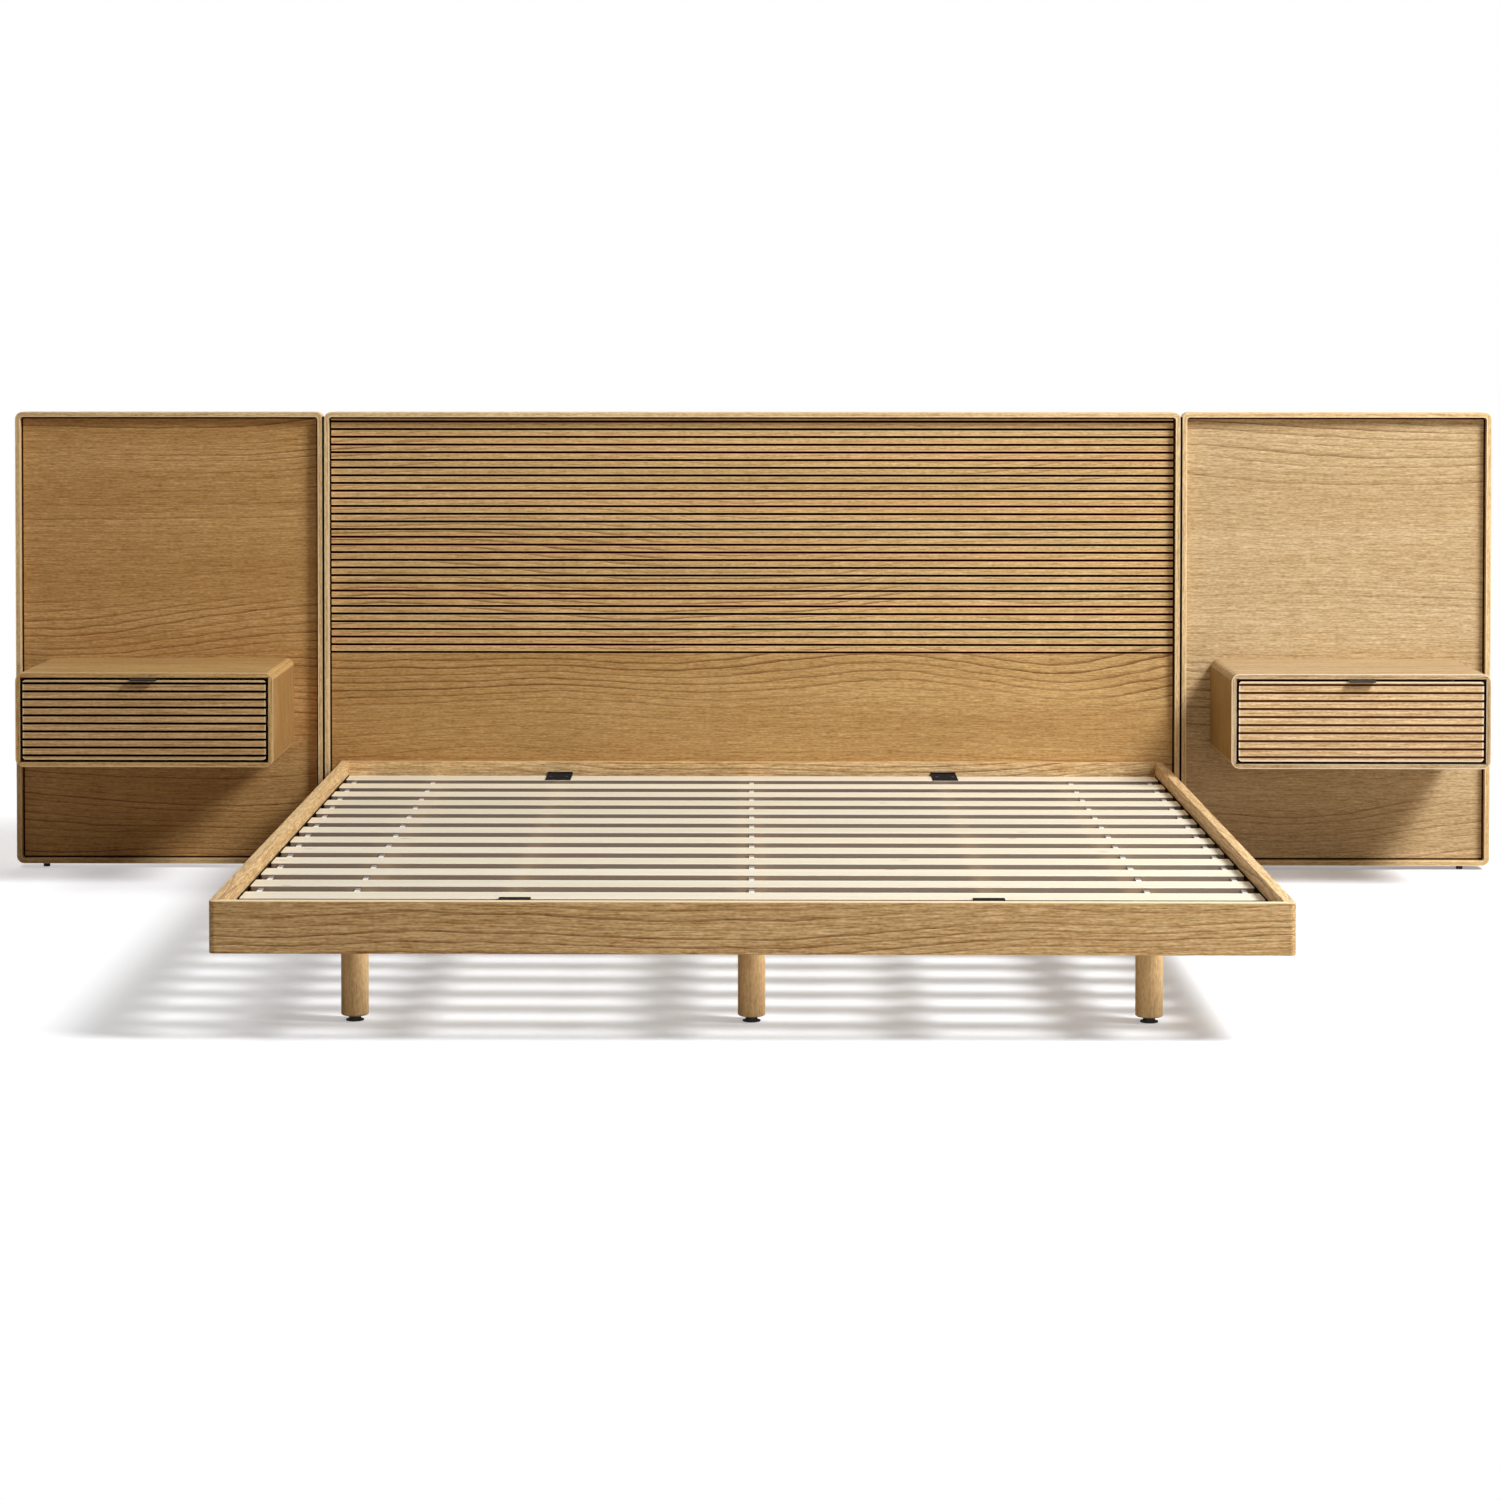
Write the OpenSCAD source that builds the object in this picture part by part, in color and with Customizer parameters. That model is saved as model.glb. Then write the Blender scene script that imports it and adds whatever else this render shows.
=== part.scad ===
// Platform bed with a three-panel headboard and two floating nightstands, in millimetres.
// +X is to the right as seen from the foot of the bed, +Y runs towards the headboard, +Z is up.
// The origin is on the floor, under the middle of the whole.

/* [Headboard panels] */
// Width of the centre panel over its edging
centre_w = 2070; // [2030:1:2400]
// Width of each side panel over its edging
side_w = 745; // [640:1:1000]
// Gap between neighbouring panels
panel_gap = 3; // [1:0.5:8]
// Height of the panels without their feet
panel_h = 1096; // [1000:1:1300]
// Depth of the edging from front to back
edge_d = 48; // [46:1:70]
// Thickness of the edging
edge_t = 12; // [9:0.5:16]
// Outer corner radius of the edging
edge_r = 18; // [12:1:30]
// Inner corner radius of the edging
edge_in_r = 7; // [2:0.5:10]
// How far the boards lie behind the front of the edging
recess = 18; // [8:1:20]
// Thickness of each side panel's board
side_board_t = 18; // [12:0.5:20]
// Thickness of the centre panel's grooved and plain boards
face_board_t = 12; // [9:0.5:14]
// Thickness of the board behind them
backing_t = 6; // [3:0.5:8]

/* [Grooves] */
// Distance from one groove to the next
groove_pitch = 18.65; // [14:0.05:21]
// Width of a groove
groove_w = 5; // [3:0.5:8]
// Depth of a groove
groove_deep = 6; // [2:0.5:8]
// Number of grooves in the centre panel
groove_count = 31; // [10:1:33]
// From the edging's inner face down to the middle of the first groove
groove_start = 11; // [8:0.5:18]

/* [Battens and joining plates] */
// Height of each batten on the panels' backs
batten_h = 120; // [90:1:140]
// How far the battens' ends stop short of the edging
batten_end_gap = 4; // [2:0.5:10]
// Height of the lower battens' middle above the floor
batten_low_z = 235; // [215:1:250]
// Height of the upper battens' middle above the floor
batten_high_z = 850; // [700:1:900]
// Width of a joining plate across the seam
plate_w = 110; // [100:1:160]
// Height of a joining plate
plate_h = 60; // [50:1:80]
// Thickness of a joining plate
plate_t = 3; // [2.5:0.5:5]
// From the seam to a joining plate's screws
plate_screw_x = 40; // [36:1:44]
// From a joining plate's middle line to its screws
plate_screw_z = 18; // [8:1:20]

/* [Headboard feet] */
// Height of the feet under the panels
foot_h = 10; // [6:0.5:20]
// Diameter of a headboard foot
foot_dia = 16; // [12:1:30]
// Diameter of its stem
foot_stem_dia = 6; // [4:0.5:8]
// Length of its stem inside the edging
foot_stem_l = 8; // [5:0.5:8]
// From a panel's outer edge to the middle of its foot
foot_inset = 68; // [40:1:120]

/* [Bed frame] */
// Outer width of the bed frame
bed_w = 1990; // [1900:1:1995]
// Outer length of the bed frame
bed_l = 2090; // [1900:1:2200]
// Thickness of the rails
rail_t = 20; // [18:0.5:26]
// Height of the rails
rail_h = 96; // [92:1:120]
// Height of the rails' underside above the floor
rail_z = 163; // [150:1:250]
// Radius of the rails' corners at the foot end
rail_r = 12; // [4:1:18]
// Side of the square corner blocks
block_w = 45; // [40:1:70]
// From the rails' underside up to the corner blocks
block_lift = 4; // [0:1:8]
// Width and height of the strips that carry the slat ends
ledger_w = 25; // [18:1:40]
// From the bed's middle to the inner bolts that hold the headboard
headboard_bolt_x = 330; // [150:1:600]

/* [Slats] */
// From the rails' top down to the slats' top
slat_drop = 30; // [20:1:31]
// Width of a slat
slat_w = 80; // [50:1:90]
// Thickness of a slat
slat_t = 12; // [10:0.5:14]
// Distance from one slat to the next
slat_pitch = 145; // [120:1:160]
// From the head rail to the first slat
slat_first = 32; // [20:1:38]
// Gap between a slat's end and the side rail
slat_end_gap = 5; // [1:0.5:10]
// Corner radius of a slat
slat_r = 4; // [1:0.5:10]
// Width of the tapes that tie the slats together
tape_w = 11; // [8:1:25]
// Thickness of the tapes
tape_t = 0.8; // [0.5:0.1:1.5]
// From the slats' top down to the middle of the slots that the tapes run through
tape_drop = 4; // [3:0.5:5.5]
// Clearance round a tape in its slot
tape_fit = 0.4; // [0.2:0.1:0.6]
// How far the tapes sag between two slats
tape_sag = 1; // [0.5:0.5:3]
// From the bed's middle to the inner pair of tapes
tape_x = 760; // [600:1:800]
// From the bed's middle to the outer pair of tapes
tape_end_x = 948; // [850:1:950]

/* [Slat brackets] */
// Width of the brackets that hold the end slats
bracket_w = 60; // [50:1:90]
// Thickness of the brackets
bracket_t = 2.5; // [1.5:0.5:4]
// From the bed's middle to the middle of a head bracket
head_bracket_x = 463; // [380:1:560]
// From the bed's middle to the middle of a foot bracket
foot_bracket_x = 448; // [380:1:560]
// Height of a bracket's flange on the rail
bracket_up = 6; // [5:0.5:16]
// How far the foot brackets reach from the foot rail
bracket_reach = 205; // [200:1:230]
// From a bracket's middle to each of its screws
bracket_screw_x = 19; // [12:1:19]

/* [Joists, bars and legs] */
// From the bed's middle to the outer joists
joist_x = 750; // [650:1:780]
// Width of a joist
joist_w = 60; // [56:1:80]
// Height of a joist
joist_h = 48; // [44:1:52]
// From the bed's middle to the thinner bars between the joists
bar_x = 455; // [380:1:560]
// Width of a bar
bar_w = 32; // [20:1:50]
// Height of a bar
bar_h = 34; // [25:1:46]
// Thickness of the steel hangers at the ends of joists and bars
hanger_t = 2; // [1.5:0.5:3]
// Length of a hanger along its joist or bar
hanger_l = 45; // [30:1:80]
// How far a hanger's cheeks stay below the top of its joist or bar
hanger_drop = 16; // [10:1:20]
// Diameter of a leg
leg_dia = 52; // [42:1:54]
// Chamfer round a leg's foot
leg_chamfer = 2; // [0.5:0.5:4]
// From the bed's ends to the middle of the end legs
leg_inset = 210; // [120:1:320]
// Diameter of the threaded stud between leg and joist
stud_dia = 10; // [8:1:12]
// Depth of the stud in the leg
stud_in_leg = 40; // [25:1:50]
// Depth of the stud in the joist
stud_in_joist = 36; // [20:1:40]
// Height of a levelling glide under its leg
glide_h = 11; // [8:0.5:20]
// Diameter of a glide's base
glide_dia = 34; // [28:1:42]
// Height of a glide's base
glide_base_h = 2; // [1.5:0.5:6]
// Diameter of a glide's neck
glide_neck_dia = 23; // [14:1:27]
// Diameter of a glide's stem
glide_stem_dia = 8; // [6:1:10]
// Length of a glide's stem in the leg
glide_stem_l = 28; // [15:1:32]

/* [Nightstand cases] */
// Width of a case
case_w = 600; // [480:1:620]
// Height of a case
case_h = 220; // [200:1:260]
// Depth of a case from the panel's board
case_d = 373; // [360:1:450]
// Height of the case's underside above the floor
case_z = 289; // [270:1:400]
// Thickness of the case's walls
case_t = 12.5; // [10:0.5:16]
// Outer corner radius of a case
case_r = 20; // [14:1:30]
// Inner corner radius of a case
case_in_r = 8; // [4:0.5:10]
// Thickness of a case's back board
case_back_t = 12; // [9:0.5:16]
// From a case's middle to its fixing bolts, sideways
case_bolt_x = 200; // [120:1:220]
// From a case's middle to its fixing bolts, up and down
case_bolt_z = 42; // [30:1:44]

/* [Drawers] */
// Gap round a drawer front
front_gap = 3.5; // [3:0.5:5]
// Thickness of a drawer front
front_t = 18; // [15:0.5:22]
// From a drawer front's top to the middle of its first groove
front_groove_start = 9; // [6:0.5:12]
// Number of grooves in a drawer front
front_groove_count = 10; // [5:1:10]
// Thickness of the drawer box's boards
box_t = 12; // [9:0.5:15]
// Height of the drawer box
box_h = 130; // [110:1:145]
// Depth of the drawer box behind the drawer front
box_l = 318; // [310:1:322]
// Thickness of the drawer bottom
bottom_t = 6; // [4:0.5:8]
// From the box's lower edge up to the drawer bottom
bottom_lift = 8; // [5:0.5:15]

/* [Drawer runners] */
// Length of a runner
runner_l = 300; // [260:1:308]
// Space for a runner between case and drawer
runner_space = 12.7; // [12.7:0.1:16]
// Height of a runner's outer channel
runner_h = 35; // [30:1:45]
// Thickness of a runner's sheet
runner_t = 1.2; // [1:0.1:1.5]
// Running clearance between a runner's channels
runner_run = 0.5; // [0.4:0.1:0.6]
// Depth of a runner's outer and middle channels
runner_deep = 9; // [6:0.5:9.5]

/* [Pulls] */
// Width of a pull
pull_w = 62; // [40:1:120]
// Thickness of a pull
pull_t = 2.5; // [1.5:0.5:2.5]
// How far a pull stands out in front of the drawer
pull_out = 15; // [10:1:25]
// How far a pull lies over the drawer front's top edge
pull_seat = 14; // [8:1:15]
// How far the pull's lip hangs below its underside
pull_lip = 2.5; // [1:0.5:6]
// From the pull's middle to its screws
pull_screw_x = 20; // [10:1:20]

/* [Fasteners and fits] */
// Diameter of the bolts
bolt_dia = 8; // [6:1:8]
// Diameter of a bolt's head
bolt_head_dia = 13; // [10:0.5:14]
// Height of a bolt's head
bolt_head_h = 5; // [3:0.5:5]
// How far a bolt goes into the last board that it holds
bolt_bite = 9; // [5:0.5:9]
// How far a corner bolt goes into its rail
rail_bite = 13; // [8:0.5:14]
// Diameter of the wood screws
screw_dia = 3.5; // [2.5:0.5:4]
// Diameter of a wood screw's head
screw_head_dia = 8; // [6:0.5:8]
// Height of a wood screw's head
screw_head_h = 2; // [1:0.5:2.5]
// How far a wood screw goes into the board that holds it
screw_bite = 7; // [4:0.5:8]
// Clearance round a bolt, screw or stem in its hole
hole_fit = 0.25; // [0.1:0.05:0.5]
// Clearance round let-in plates and behind lips
plate_fit = 0.3; // [0.1:0.1:0.6]
// Half of the glue line in a mitre or butt joint
glue_line = 0.15; // [0.1:0.05:0.3]

/* [Hidden] */
$fn = 48;

LEFT = -1;
RIGHT = 1;
PAIR = [-1, 1];

// Turns of a frame's four sides, from its top
TOP = 0;
BOTTOM = 180;
WEST = 90;
EAST = -90;

// Places from front to back
total_d = bed_l + edge_d - recess;
front_y = -total_d / 2;
back_y = total_d / 2;
face_y = front_y + bed_l;
bed_y = front_y + bed_l / 2;
inner_w = bed_w - 2 * rail_t;
inner_l = bed_l - 2 * rail_t;
head_y = face_y - rail_t;
foot_y = front_y + rail_t;

// Headboard
panel_z = foot_h + panel_h / 2;
side_x = centre_w / 2 + panel_gap + side_w / 2;
seam_x = centre_w / 2 + panel_gap / 2;
board_top = foot_h + panel_h - edge_t;
grooved_bottom = groove_z(groove_count - 1) - groove_w / 2;
side_batten_t = edge_d - recess - side_board_t;
centre_batten_t = edge_d - recess - face_board_t - backing_t;

// Bed
rail_top = rail_z + rail_h;
slat_top = rail_top - slat_drop;
slat_under = slat_top - slat_t;
slat_count = floor((inner_l - slat_first - slat_w) / slat_pitch) + 1;
slat_l = inner_w - 2 * slat_end_gap;
joist_z = slat_under - joist_h;
headboard_bolt_z = rail_z + rail_h / 2;
// The outer bolts are midway between an outer joist and a corner block
headboard_bolt_xs = [headboard_bolt_x, (joist_x + joist_w / 2 + hanger_t + inner_w / 2 - block_w) / 2];
block_z = rail_z + block_lift;
block_h = slat_under - block_z;
side_bolt_z = block_z + 0.68 * block_h;
end_bolt_z = block_z + 0.26 * block_h;
leg_ys = [front_y + leg_inset, bed_y, face_y - leg_inset];
tape_xs = [-tape_end_x, -tape_x, 0, tape_x, tape_end_x];
tape_z = slat_top - tape_drop;

// Nightstands
case_mid_z = case_z + case_h / 2;
case_front_y = face_y - case_d;
bay_w = case_w - 2 * case_t;
bay_h = case_h - 2 * case_t;
front_w = bay_w - 2 * front_gap;
front_h = bay_h - 2 * front_gap;
front_top = case_mid_z + front_h / 2;
front_back_y = case_front_y + front_t;
box_w = bay_w - 2 * runner_space;
box_z = case_mid_z - box_h / 2;
runner_y = front_back_y + runner_l;
middle_h = runner_h - 2 * (runner_t + runner_run);
inner_h = middle_h - 2 * (runner_t + runner_run);
inner_deep = runner_space - 2 * (runner_t + runner_run);

// ---- shapes shared by several pieces ----

module rounded_rect(w, h, r) {
    square([w - 2 * r, h], center = true);
    square([w, h - 2 * r], center = true);
    for (sx = PAIR, sy = PAIR)
        translate([sx * (w / 2 - r), sy * (h / 2 - r)])
            circle(r);
}

// The part of a frame's plan that belongs to one side, cut along its two mitres
module mitred_side(w, h, reach, turn) {
    along = abs(turn) == 90 ? h : w;
    across = abs(turn) == 90 ? w : h;
    rotate(turn)
        translate([0, glue_line])
            polygon([
                [-along / 2 - reach, across / 2 + reach],
                [along / 2 + reach, across / 2 + reach],
                [along / 2 - reach, across / 2 - reach],
                [-along / 2 + reach, across / 2 - reach]
            ]);
}

module rounded_frame_side(w, h, t, r, in_r, turn) {
    intersection() {
        difference() {
            rounded_rect(w, h, r);
            rounded_rect(w - 2 * t, h - 2 * t, in_r);
        }
        mitred_side(w, h, t + r, turn);
    }
}

// Stands a plan drawn in X and Z upright; it runs from y forwards by d
module upright(x, y, z, d) {
    translate([x, y, z])
        rotate([90, 0, 0])
            linear_extrude(d)
                children();
}

// Lays a profile drawn in Y and Z across the bed, w wide about x
module across(x, w) {
    translate([x - w / 2, 0, 0])
        rotate([90, 0, 90])
            linear_extrude(w)
                children();
}

// A bolt or screw along -Z, its head standing on z = 0
module fastener(dia, l, head_dia, head_h) {
    cylinder(d = head_dia, h = head_h);
    translate([0, 0, -l])
        cylinder(d = dia, h = l);
}

// The hole for it, l deep below z = 0 and opened a little above
module fastener_hole(dia, l) {
    translate([0, 0, -l])
        cylinder(d = dia + 2 * hole_fit, h = l + 1);
}

// ---- headboard ----

module at_panel_ends(x, w) {
    for (s = PAIR)
        translate([x + s * (w / 2 - foot_inset), back_y - edge_d / 2, 0])
            children();
}

module at_joining_plates() {
    for (s = PAIR, z = [batten_low_z, batten_high_z])
        translate([s * seam_x, back_y, z])
            children();
}

module at_plate_screws() {
    at_joining_plates()
        for (sx = PAIR, sz = PAIR)
            translate([sx * plate_screw_x, 0, sz * plate_screw_z])
                rotate([-90, 0, 0])
                    children();
}

module plate_recess() {
    at_joining_plates()
        translate([-plate_w / 2 - plate_fit, -plate_t, -plate_h / 2 - plate_fit])
            cube([plate_w + 2 * plate_fit, plate_t + 1, plate_h + 2 * plate_fit]);
}

module at_headboard_bolts() {
    for (s = PAIR, x = headboard_bolt_xs)
        translate([s * x, head_y, headboard_bolt_z])
            rotate([90, 0, 0])
                children();
}

module at_case_bolts(side) {
    for (sx = PAIR, sz = PAIR)
        translate([side * side_x + sx * case_bolt_x, face_y - case_back_t, case_mid_z + sz * case_bolt_z])
            rotate([90, 0, 0])
                children();
}

module headboard_bolt_holes() {
    at_headboard_bolts()
        fastener_hole(bolt_dia, rail_t + edge_d);
}

module case_bolt_holes(side) {
    at_case_bolts(side)
        fastener_hole(bolt_dia, case_back_t + edge_d);
}

module edging(x, w) {
    color("burlywood")
        difference() {
            upright(x, back_y, panel_z, edge_d)
                for (turn = [TOP, BOTTOM, WEST, EAST])
                    rounded_frame_side(w, panel_h, edge_t, edge_r, edge_in_r, turn);
            plate_recess();
            at_panel_ends(x, w)
                cylinder(d = foot_stem_dia + 2 * hole_fit, h = foot_h + foot_stem_l + hole_fit);
        }
}

// The boards' corners are rounded a little more than the edging's inside
module panel_infill(w) {
    rounded_rect(w - 2 * edge_t, panel_h - 2 * edge_t, edge_in_r + 1);
}

function groove_z(i) = board_top - groove_start - i * groove_pitch;

module centre_grooved_board() {
    color("peru")
        difference() {
            upright(0, face_y + face_board_t, panel_z, face_board_t)
                intersection() {
                    panel_infill(centre_w);
                    translate([-centre_w / 2, grooved_bottom - panel_z])
                        square([centre_w, panel_h]);
                }
            for (i = [0:groove_count - 1])
                translate([-centre_w / 2, face_y - 1, groove_z(i) - groove_w / 2])
                    cube([centre_w, groove_deep + 1, groove_w]);
        }
}

module centre_plain_board() {
    color("peru")
        difference() {
            upright(0, face_y + face_board_t, panel_z, face_board_t)
                intersection() {
                    panel_infill(centre_w);
                    translate([-centre_w / 2, -panel_h / 2])
                        square([centre_w, grooved_bottom - panel_z + panel_h / 2]);
                }
            headboard_bolt_holes();
        }
}

module centre_backing_board() {
    color("tan")
        difference() {
            upright(0, face_y + face_board_t + backing_t, panel_z, backing_t)
                panel_infill(centre_w);
            headboard_bolt_holes();
        }
}

module side_panel_board(side) {
    color("peru")
        difference() {
            upright(side * side_x, face_y + side_board_t, panel_z, side_board_t)
                panel_infill(side_w);
            case_bolt_holes(side);
        }
}

module batten(x, w, z, t) {
    l = w - 2 * edge_t - 2 * batten_end_gap;
    translate([x - l / 2, back_y - t, z - batten_h / 2])
        cube([l, t, batten_h]);
}

module headboard_battens() {
    color("wheat")
        difference() {
            union() {
                for (z = [batten_low_z, batten_high_z])
                    batten(0, centre_w, z, centre_batten_t);
                for (s = PAIR, z = [batten_low_z, case_mid_z, batten_high_z])
                    batten(s * side_x, side_w, z, side_batten_t);
            }
            plate_recess();
            headboard_bolt_holes();
            for (s = PAIR)
                case_bolt_holes(s);
            translate([0, -plate_t, 0])
                at_plate_screws()
                    fastener_hole(screw_dia, screw_bite + hole_fit);
        }
}

module joining_plates() {
    color("dimgray")
        difference() {
            at_joining_plates()
                translate([-plate_w / 2, -plate_t, -plate_h / 2])
                    cube([plate_w, plate_t, plate_h]);
            at_plate_screws() {
                fastener_hole(screw_dia, plate_t + 1);
                translate([0, 0, -screw_head_h])
                    cylinder(d = screw_head_dia + 2 * hole_fit, h = screw_head_h + 1);
            }
        }
}

module joining_screws() {
    color("silver")
        translate([0, -screw_head_h, 0])
            at_plate_screws()
                fastener(screw_dia, plate_t - screw_head_h + screw_bite, screw_head_dia, screw_head_h);
}

module headboard_feet() {
    color("black")
        for (panel = [[-side_x, side_w], [0, centre_w], [side_x, side_w]])
            at_panel_ends(panel[0], panel[1]) {
                cylinder(d = foot_dia, h = foot_h);
                cylinder(d = foot_stem_dia, h = foot_h + foot_stem_l);
            }
}

// ---- bed frame ----

module bed_outline() {
    translate([0, rail_r / 2])
        square([bed_w, bed_l - rail_r], center = true);
    square([bed_w - 2 * rail_r, bed_l], center = true);
    for (s = PAIR)
        translate([s * (bed_w / 2 - rail_r), rail_r - bed_l / 2])
            circle(rail_r);
}

// End is -1 at the foot and 1 at the head
module at_corners() {
    for (s = PAIR, end = PAIR)
        translate([s * inner_w / 2, bed_y + end * inner_l / 2, 0])
            mirror([s > 0 ? 1 : 0, 0, 0])
                mirror([0, end > 0 ? 1 : 0, 0])
                    children();
}

// Corner bolts start on a block's inner faces, one towards each of the two rails
module at_corner_bolts() {
    at_corners() {
        translate([block_w, block_w / 2, side_bolt_z])
            rotate([0, 90, 0])
                children();
        translate([block_w / 2, block_w, end_bolt_z])
            rotate([-90, 0, 0])
                children();
    }
}

module corner_bolt_holes() {
    at_corner_bolts()
        fastener_hole(bolt_dia, block_w + rail_bite + hole_fit);
}

module rail(turn) {
    color("burlywood")
        difference() {
            translate([0, bed_y, rail_z])
                linear_extrude(rail_h)
                    intersection() {
                        difference() {
                            bed_outline();
                            square([inner_w, inner_l], center = true);
                        }
                        mitred_side(bed_w, bed_l, rail_t + rail_r, turn);
                    }
            corner_bolt_holes();
            headboard_bolt_holes();
        }
}

module corner_blocks() {
    color("wheat")
        difference() {
            at_corners()
                translate([0, 0, block_z])
                    cube([block_w, block_w, block_h]);
            corner_bolt_holes();
        }
}

module corner_bolts() {
    color("silver")
        at_corner_bolts()
            fastener(bolt_dia, block_w + rail_bite, bolt_head_dia, bolt_head_h);
}

module headboard_bolts() {
    color("silver")
        at_headboard_bolts()
            fastener(bolt_dia, rail_t + face_board_t + backing_t + bolt_bite, bolt_head_dia, bolt_head_h);
}

module slat_ledger(side) {
    color("wheat")
        translate([side * (inner_w - ledger_w) / 2 - ledger_w / 2, foot_y + block_w, slat_under - ledger_w])
            cube([ledger_w, inner_l - 2 * block_w, ledger_w]);
}

// ---- slats ----

function slat_back_y(i) = head_y - slat_first - i * slat_pitch;
function slat_front_y(i) = slat_back_y(i) - slat_w;

// Screws of the head brackets are on the first slat's middle line, of the foot brackets on the last one's
module at_bracket_screws() {
    for (end = [[head_bracket_x, 0], [foot_bracket_x, slat_count - 1]], s = PAIR, sx = PAIR)
        translate([s * end[0] + sx * bracket_screw_x, slat_back_y(end[1]) - slat_w / 2, slat_top + bracket_t])
            children();
}

module slats() {
    color("cornsilk")
        difference() {
            for (i = [0:slat_count - 1])
                translate([0, slat_back_y(i) - slat_w / 2, slat_under])
                    linear_extrude(slat_t)
                        rounded_rect(slat_l, slat_w, slat_r);
            at_bracket_screws()
                fastener_hole(screw_dia, bracket_t + screw_bite + hole_fit);
            for (x = tape_xs)
                tape_slots(x);
        }
}

// One straight cut makes a tape's slots through all the slats
module tape_slots(x) {
    slot_w = tape_w + 2 * tape_fit;
    slot_h = tape_t + 2 * tape_fit;
    translate([x - slot_w / 2, foot_y, tape_z - slot_h / 2])
        cube([slot_w, inner_l, slot_h]);
}

// A tape's upper or lower line in Y and Z: flat in each slat, sagging between two, short of both rails
function tape_line(z) = concat(
    [[head_y - 1, z]],
    [for (i = [0:slat_count - 1]) each [
        [slat_back_y(i), z],
        [slat_front_y(i), z],
        if (i < slat_count - 1) [slat_front_y(i) - (slat_pitch - slat_w) / 2, z - tape_sag]
    ]],
    [[max(foot_y + 1, slat_front_y(slat_count - 1) - slat_first), z]]
);

function reversed(points) = [for (i = [len(points) - 1:-1:0]) points[i]];

module slat_tapes() {
    color("ivory")
        for (x = tape_xs)
            across(x, tape_w)
                polygon(concat(tape_line(tape_z + tape_t / 2), reversed(tape_line(tape_z - tape_t / 2))));
}

// Head bracket: a flange on the rail and a plate over the first slat
module head_bracket_profile() {
    translate([head_y - bracket_t, slat_top])
        square([bracket_t, bracket_up]);
    translate([slat_front_y(0), slat_top])
        square([head_y - slat_front_y(0), bracket_t]);
}

module foot_bracket_profile() {
    translate([foot_y, slat_top])
        square([bracket_t, bracket_up]);
    translate([foot_y, slat_top])
        square([bracket_reach, bracket_t]);
}

module slat_brackets() {
    color("black")
        difference() {
            for (s = PAIR) {
                across(s * head_bracket_x, bracket_w)
                    head_bracket_profile();
                across(s * foot_bracket_x, bracket_w)
                    foot_bracket_profile();
            }
            at_bracket_screws()
                fastener_hole(screw_dia, bracket_t + 1);
        }
}

module slat_bracket_screws() {
    color("dimgray")
        at_bracket_screws()
            fastener(screw_dia, bracket_t + screw_bite, screw_head_dia, screw_head_h);
}

// ---- joists, bars and legs ----

module at_legs(xs) {
    for (x = xs, y = leg_ys)
        translate([x, y, 0])
            children();
}

module joist(x) {
    color("wheat")
        difference() {
            translate([x - joist_w / 2, foot_y + hanger_t, joist_z])
                cube([joist_w, inner_l - 2 * hanger_t, joist_h]);
            at_legs([x])
                translate([0, 0, joist_z - 1])
                    cylinder(d = stud_dia + 2 * hole_fit, h = stud_in_joist + hole_fit + 1);
        }
}

module support_bars() {
    color("wheat")
        for (s = PAIR)
            translate([s * bar_x - bar_w / 2, foot_y + hanger_t, slat_under - bar_h])
                cube([bar_w, inner_l - 2 * hanger_t, bar_h]);
}

// The steel shoes that hold a joist or bar of width w and height h at both rails
module hanger_pair(x, w, h) {
    cheek_h = h - hanger_drop;
    for (end = PAIR)
        translate([x, bed_y + end * inner_l / 2, slat_under - h - hanger_t])
            mirror([0, end > 0 ? 1 : 0, 0])
                difference() {
                    translate([-w / 2 - hanger_t, 0, 0])
                        cube([w + 2 * hanger_t, hanger_l, cheek_h + hanger_t]);
                    translate([-w / 2, hanger_t, hanger_t])
                        cube([w, hanger_l, h]);
                }
}

module joist_hangers() {
    color("gray") {
        for (x = [-joist_x, 0, joist_x])
            hanger_pair(x, joist_w, joist_h);
        for (s = PAIR)
            hanger_pair(s * bar_x, bar_w, bar_h);
    }
}

module legs() {
    leg_r = leg_dia / 2;
    stud_r = stud_dia / 2 + hole_fit;
    stem_r = glide_stem_dia / 2 + hole_fit;
    stud_end = joist_z - stud_in_leg - hole_fit;
    stem_end = glide_h + glide_stem_l + hole_fit;
    color("burlywood")
        at_legs([-joist_x, 0, joist_x])
            rotate_extrude()
                polygon([
                    [0, stem_end], [stem_r, stem_end], [stem_r, glide_h],
                    [leg_r - leg_chamfer, glide_h], [leg_r, glide_h + leg_chamfer], [leg_r, joist_z],
                    [stud_r, joist_z], [stud_r, stud_end], [0, stud_end]
                ]);
}

module leg_studs() {
    color("silver")
        at_legs([-joist_x, 0, joist_x])
            translate([0, 0, joist_z - stud_in_leg])
                cylinder(d = stud_dia, h = stud_in_leg + stud_in_joist);
}

module leg_glides() {
    color("black")
        at_legs([-joist_x, 0, joist_x]) {
            cylinder(d = glide_dia, h = glide_base_h);
            cylinder(d = glide_neck_dia, h = glide_h);
            cylinder(d = glide_stem_dia, h = glide_h + glide_stem_l);
        }
}

// ---- nightstand cases ----

module case_wall(side, turn) {
    color("burlywood")
        upright(side * side_x, face_y, case_mid_z, case_d)
            rounded_frame_side(case_w, case_h, case_t, case_r, case_in_r, turn);
}

module case_back(side) {
    color("tan")
        difference() {
            upright(side * side_x, face_y, case_mid_z, case_back_t)
                rounded_rect(bay_w, bay_h, case_in_r + 1);
            case_bolt_holes(side);
        }
}

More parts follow.
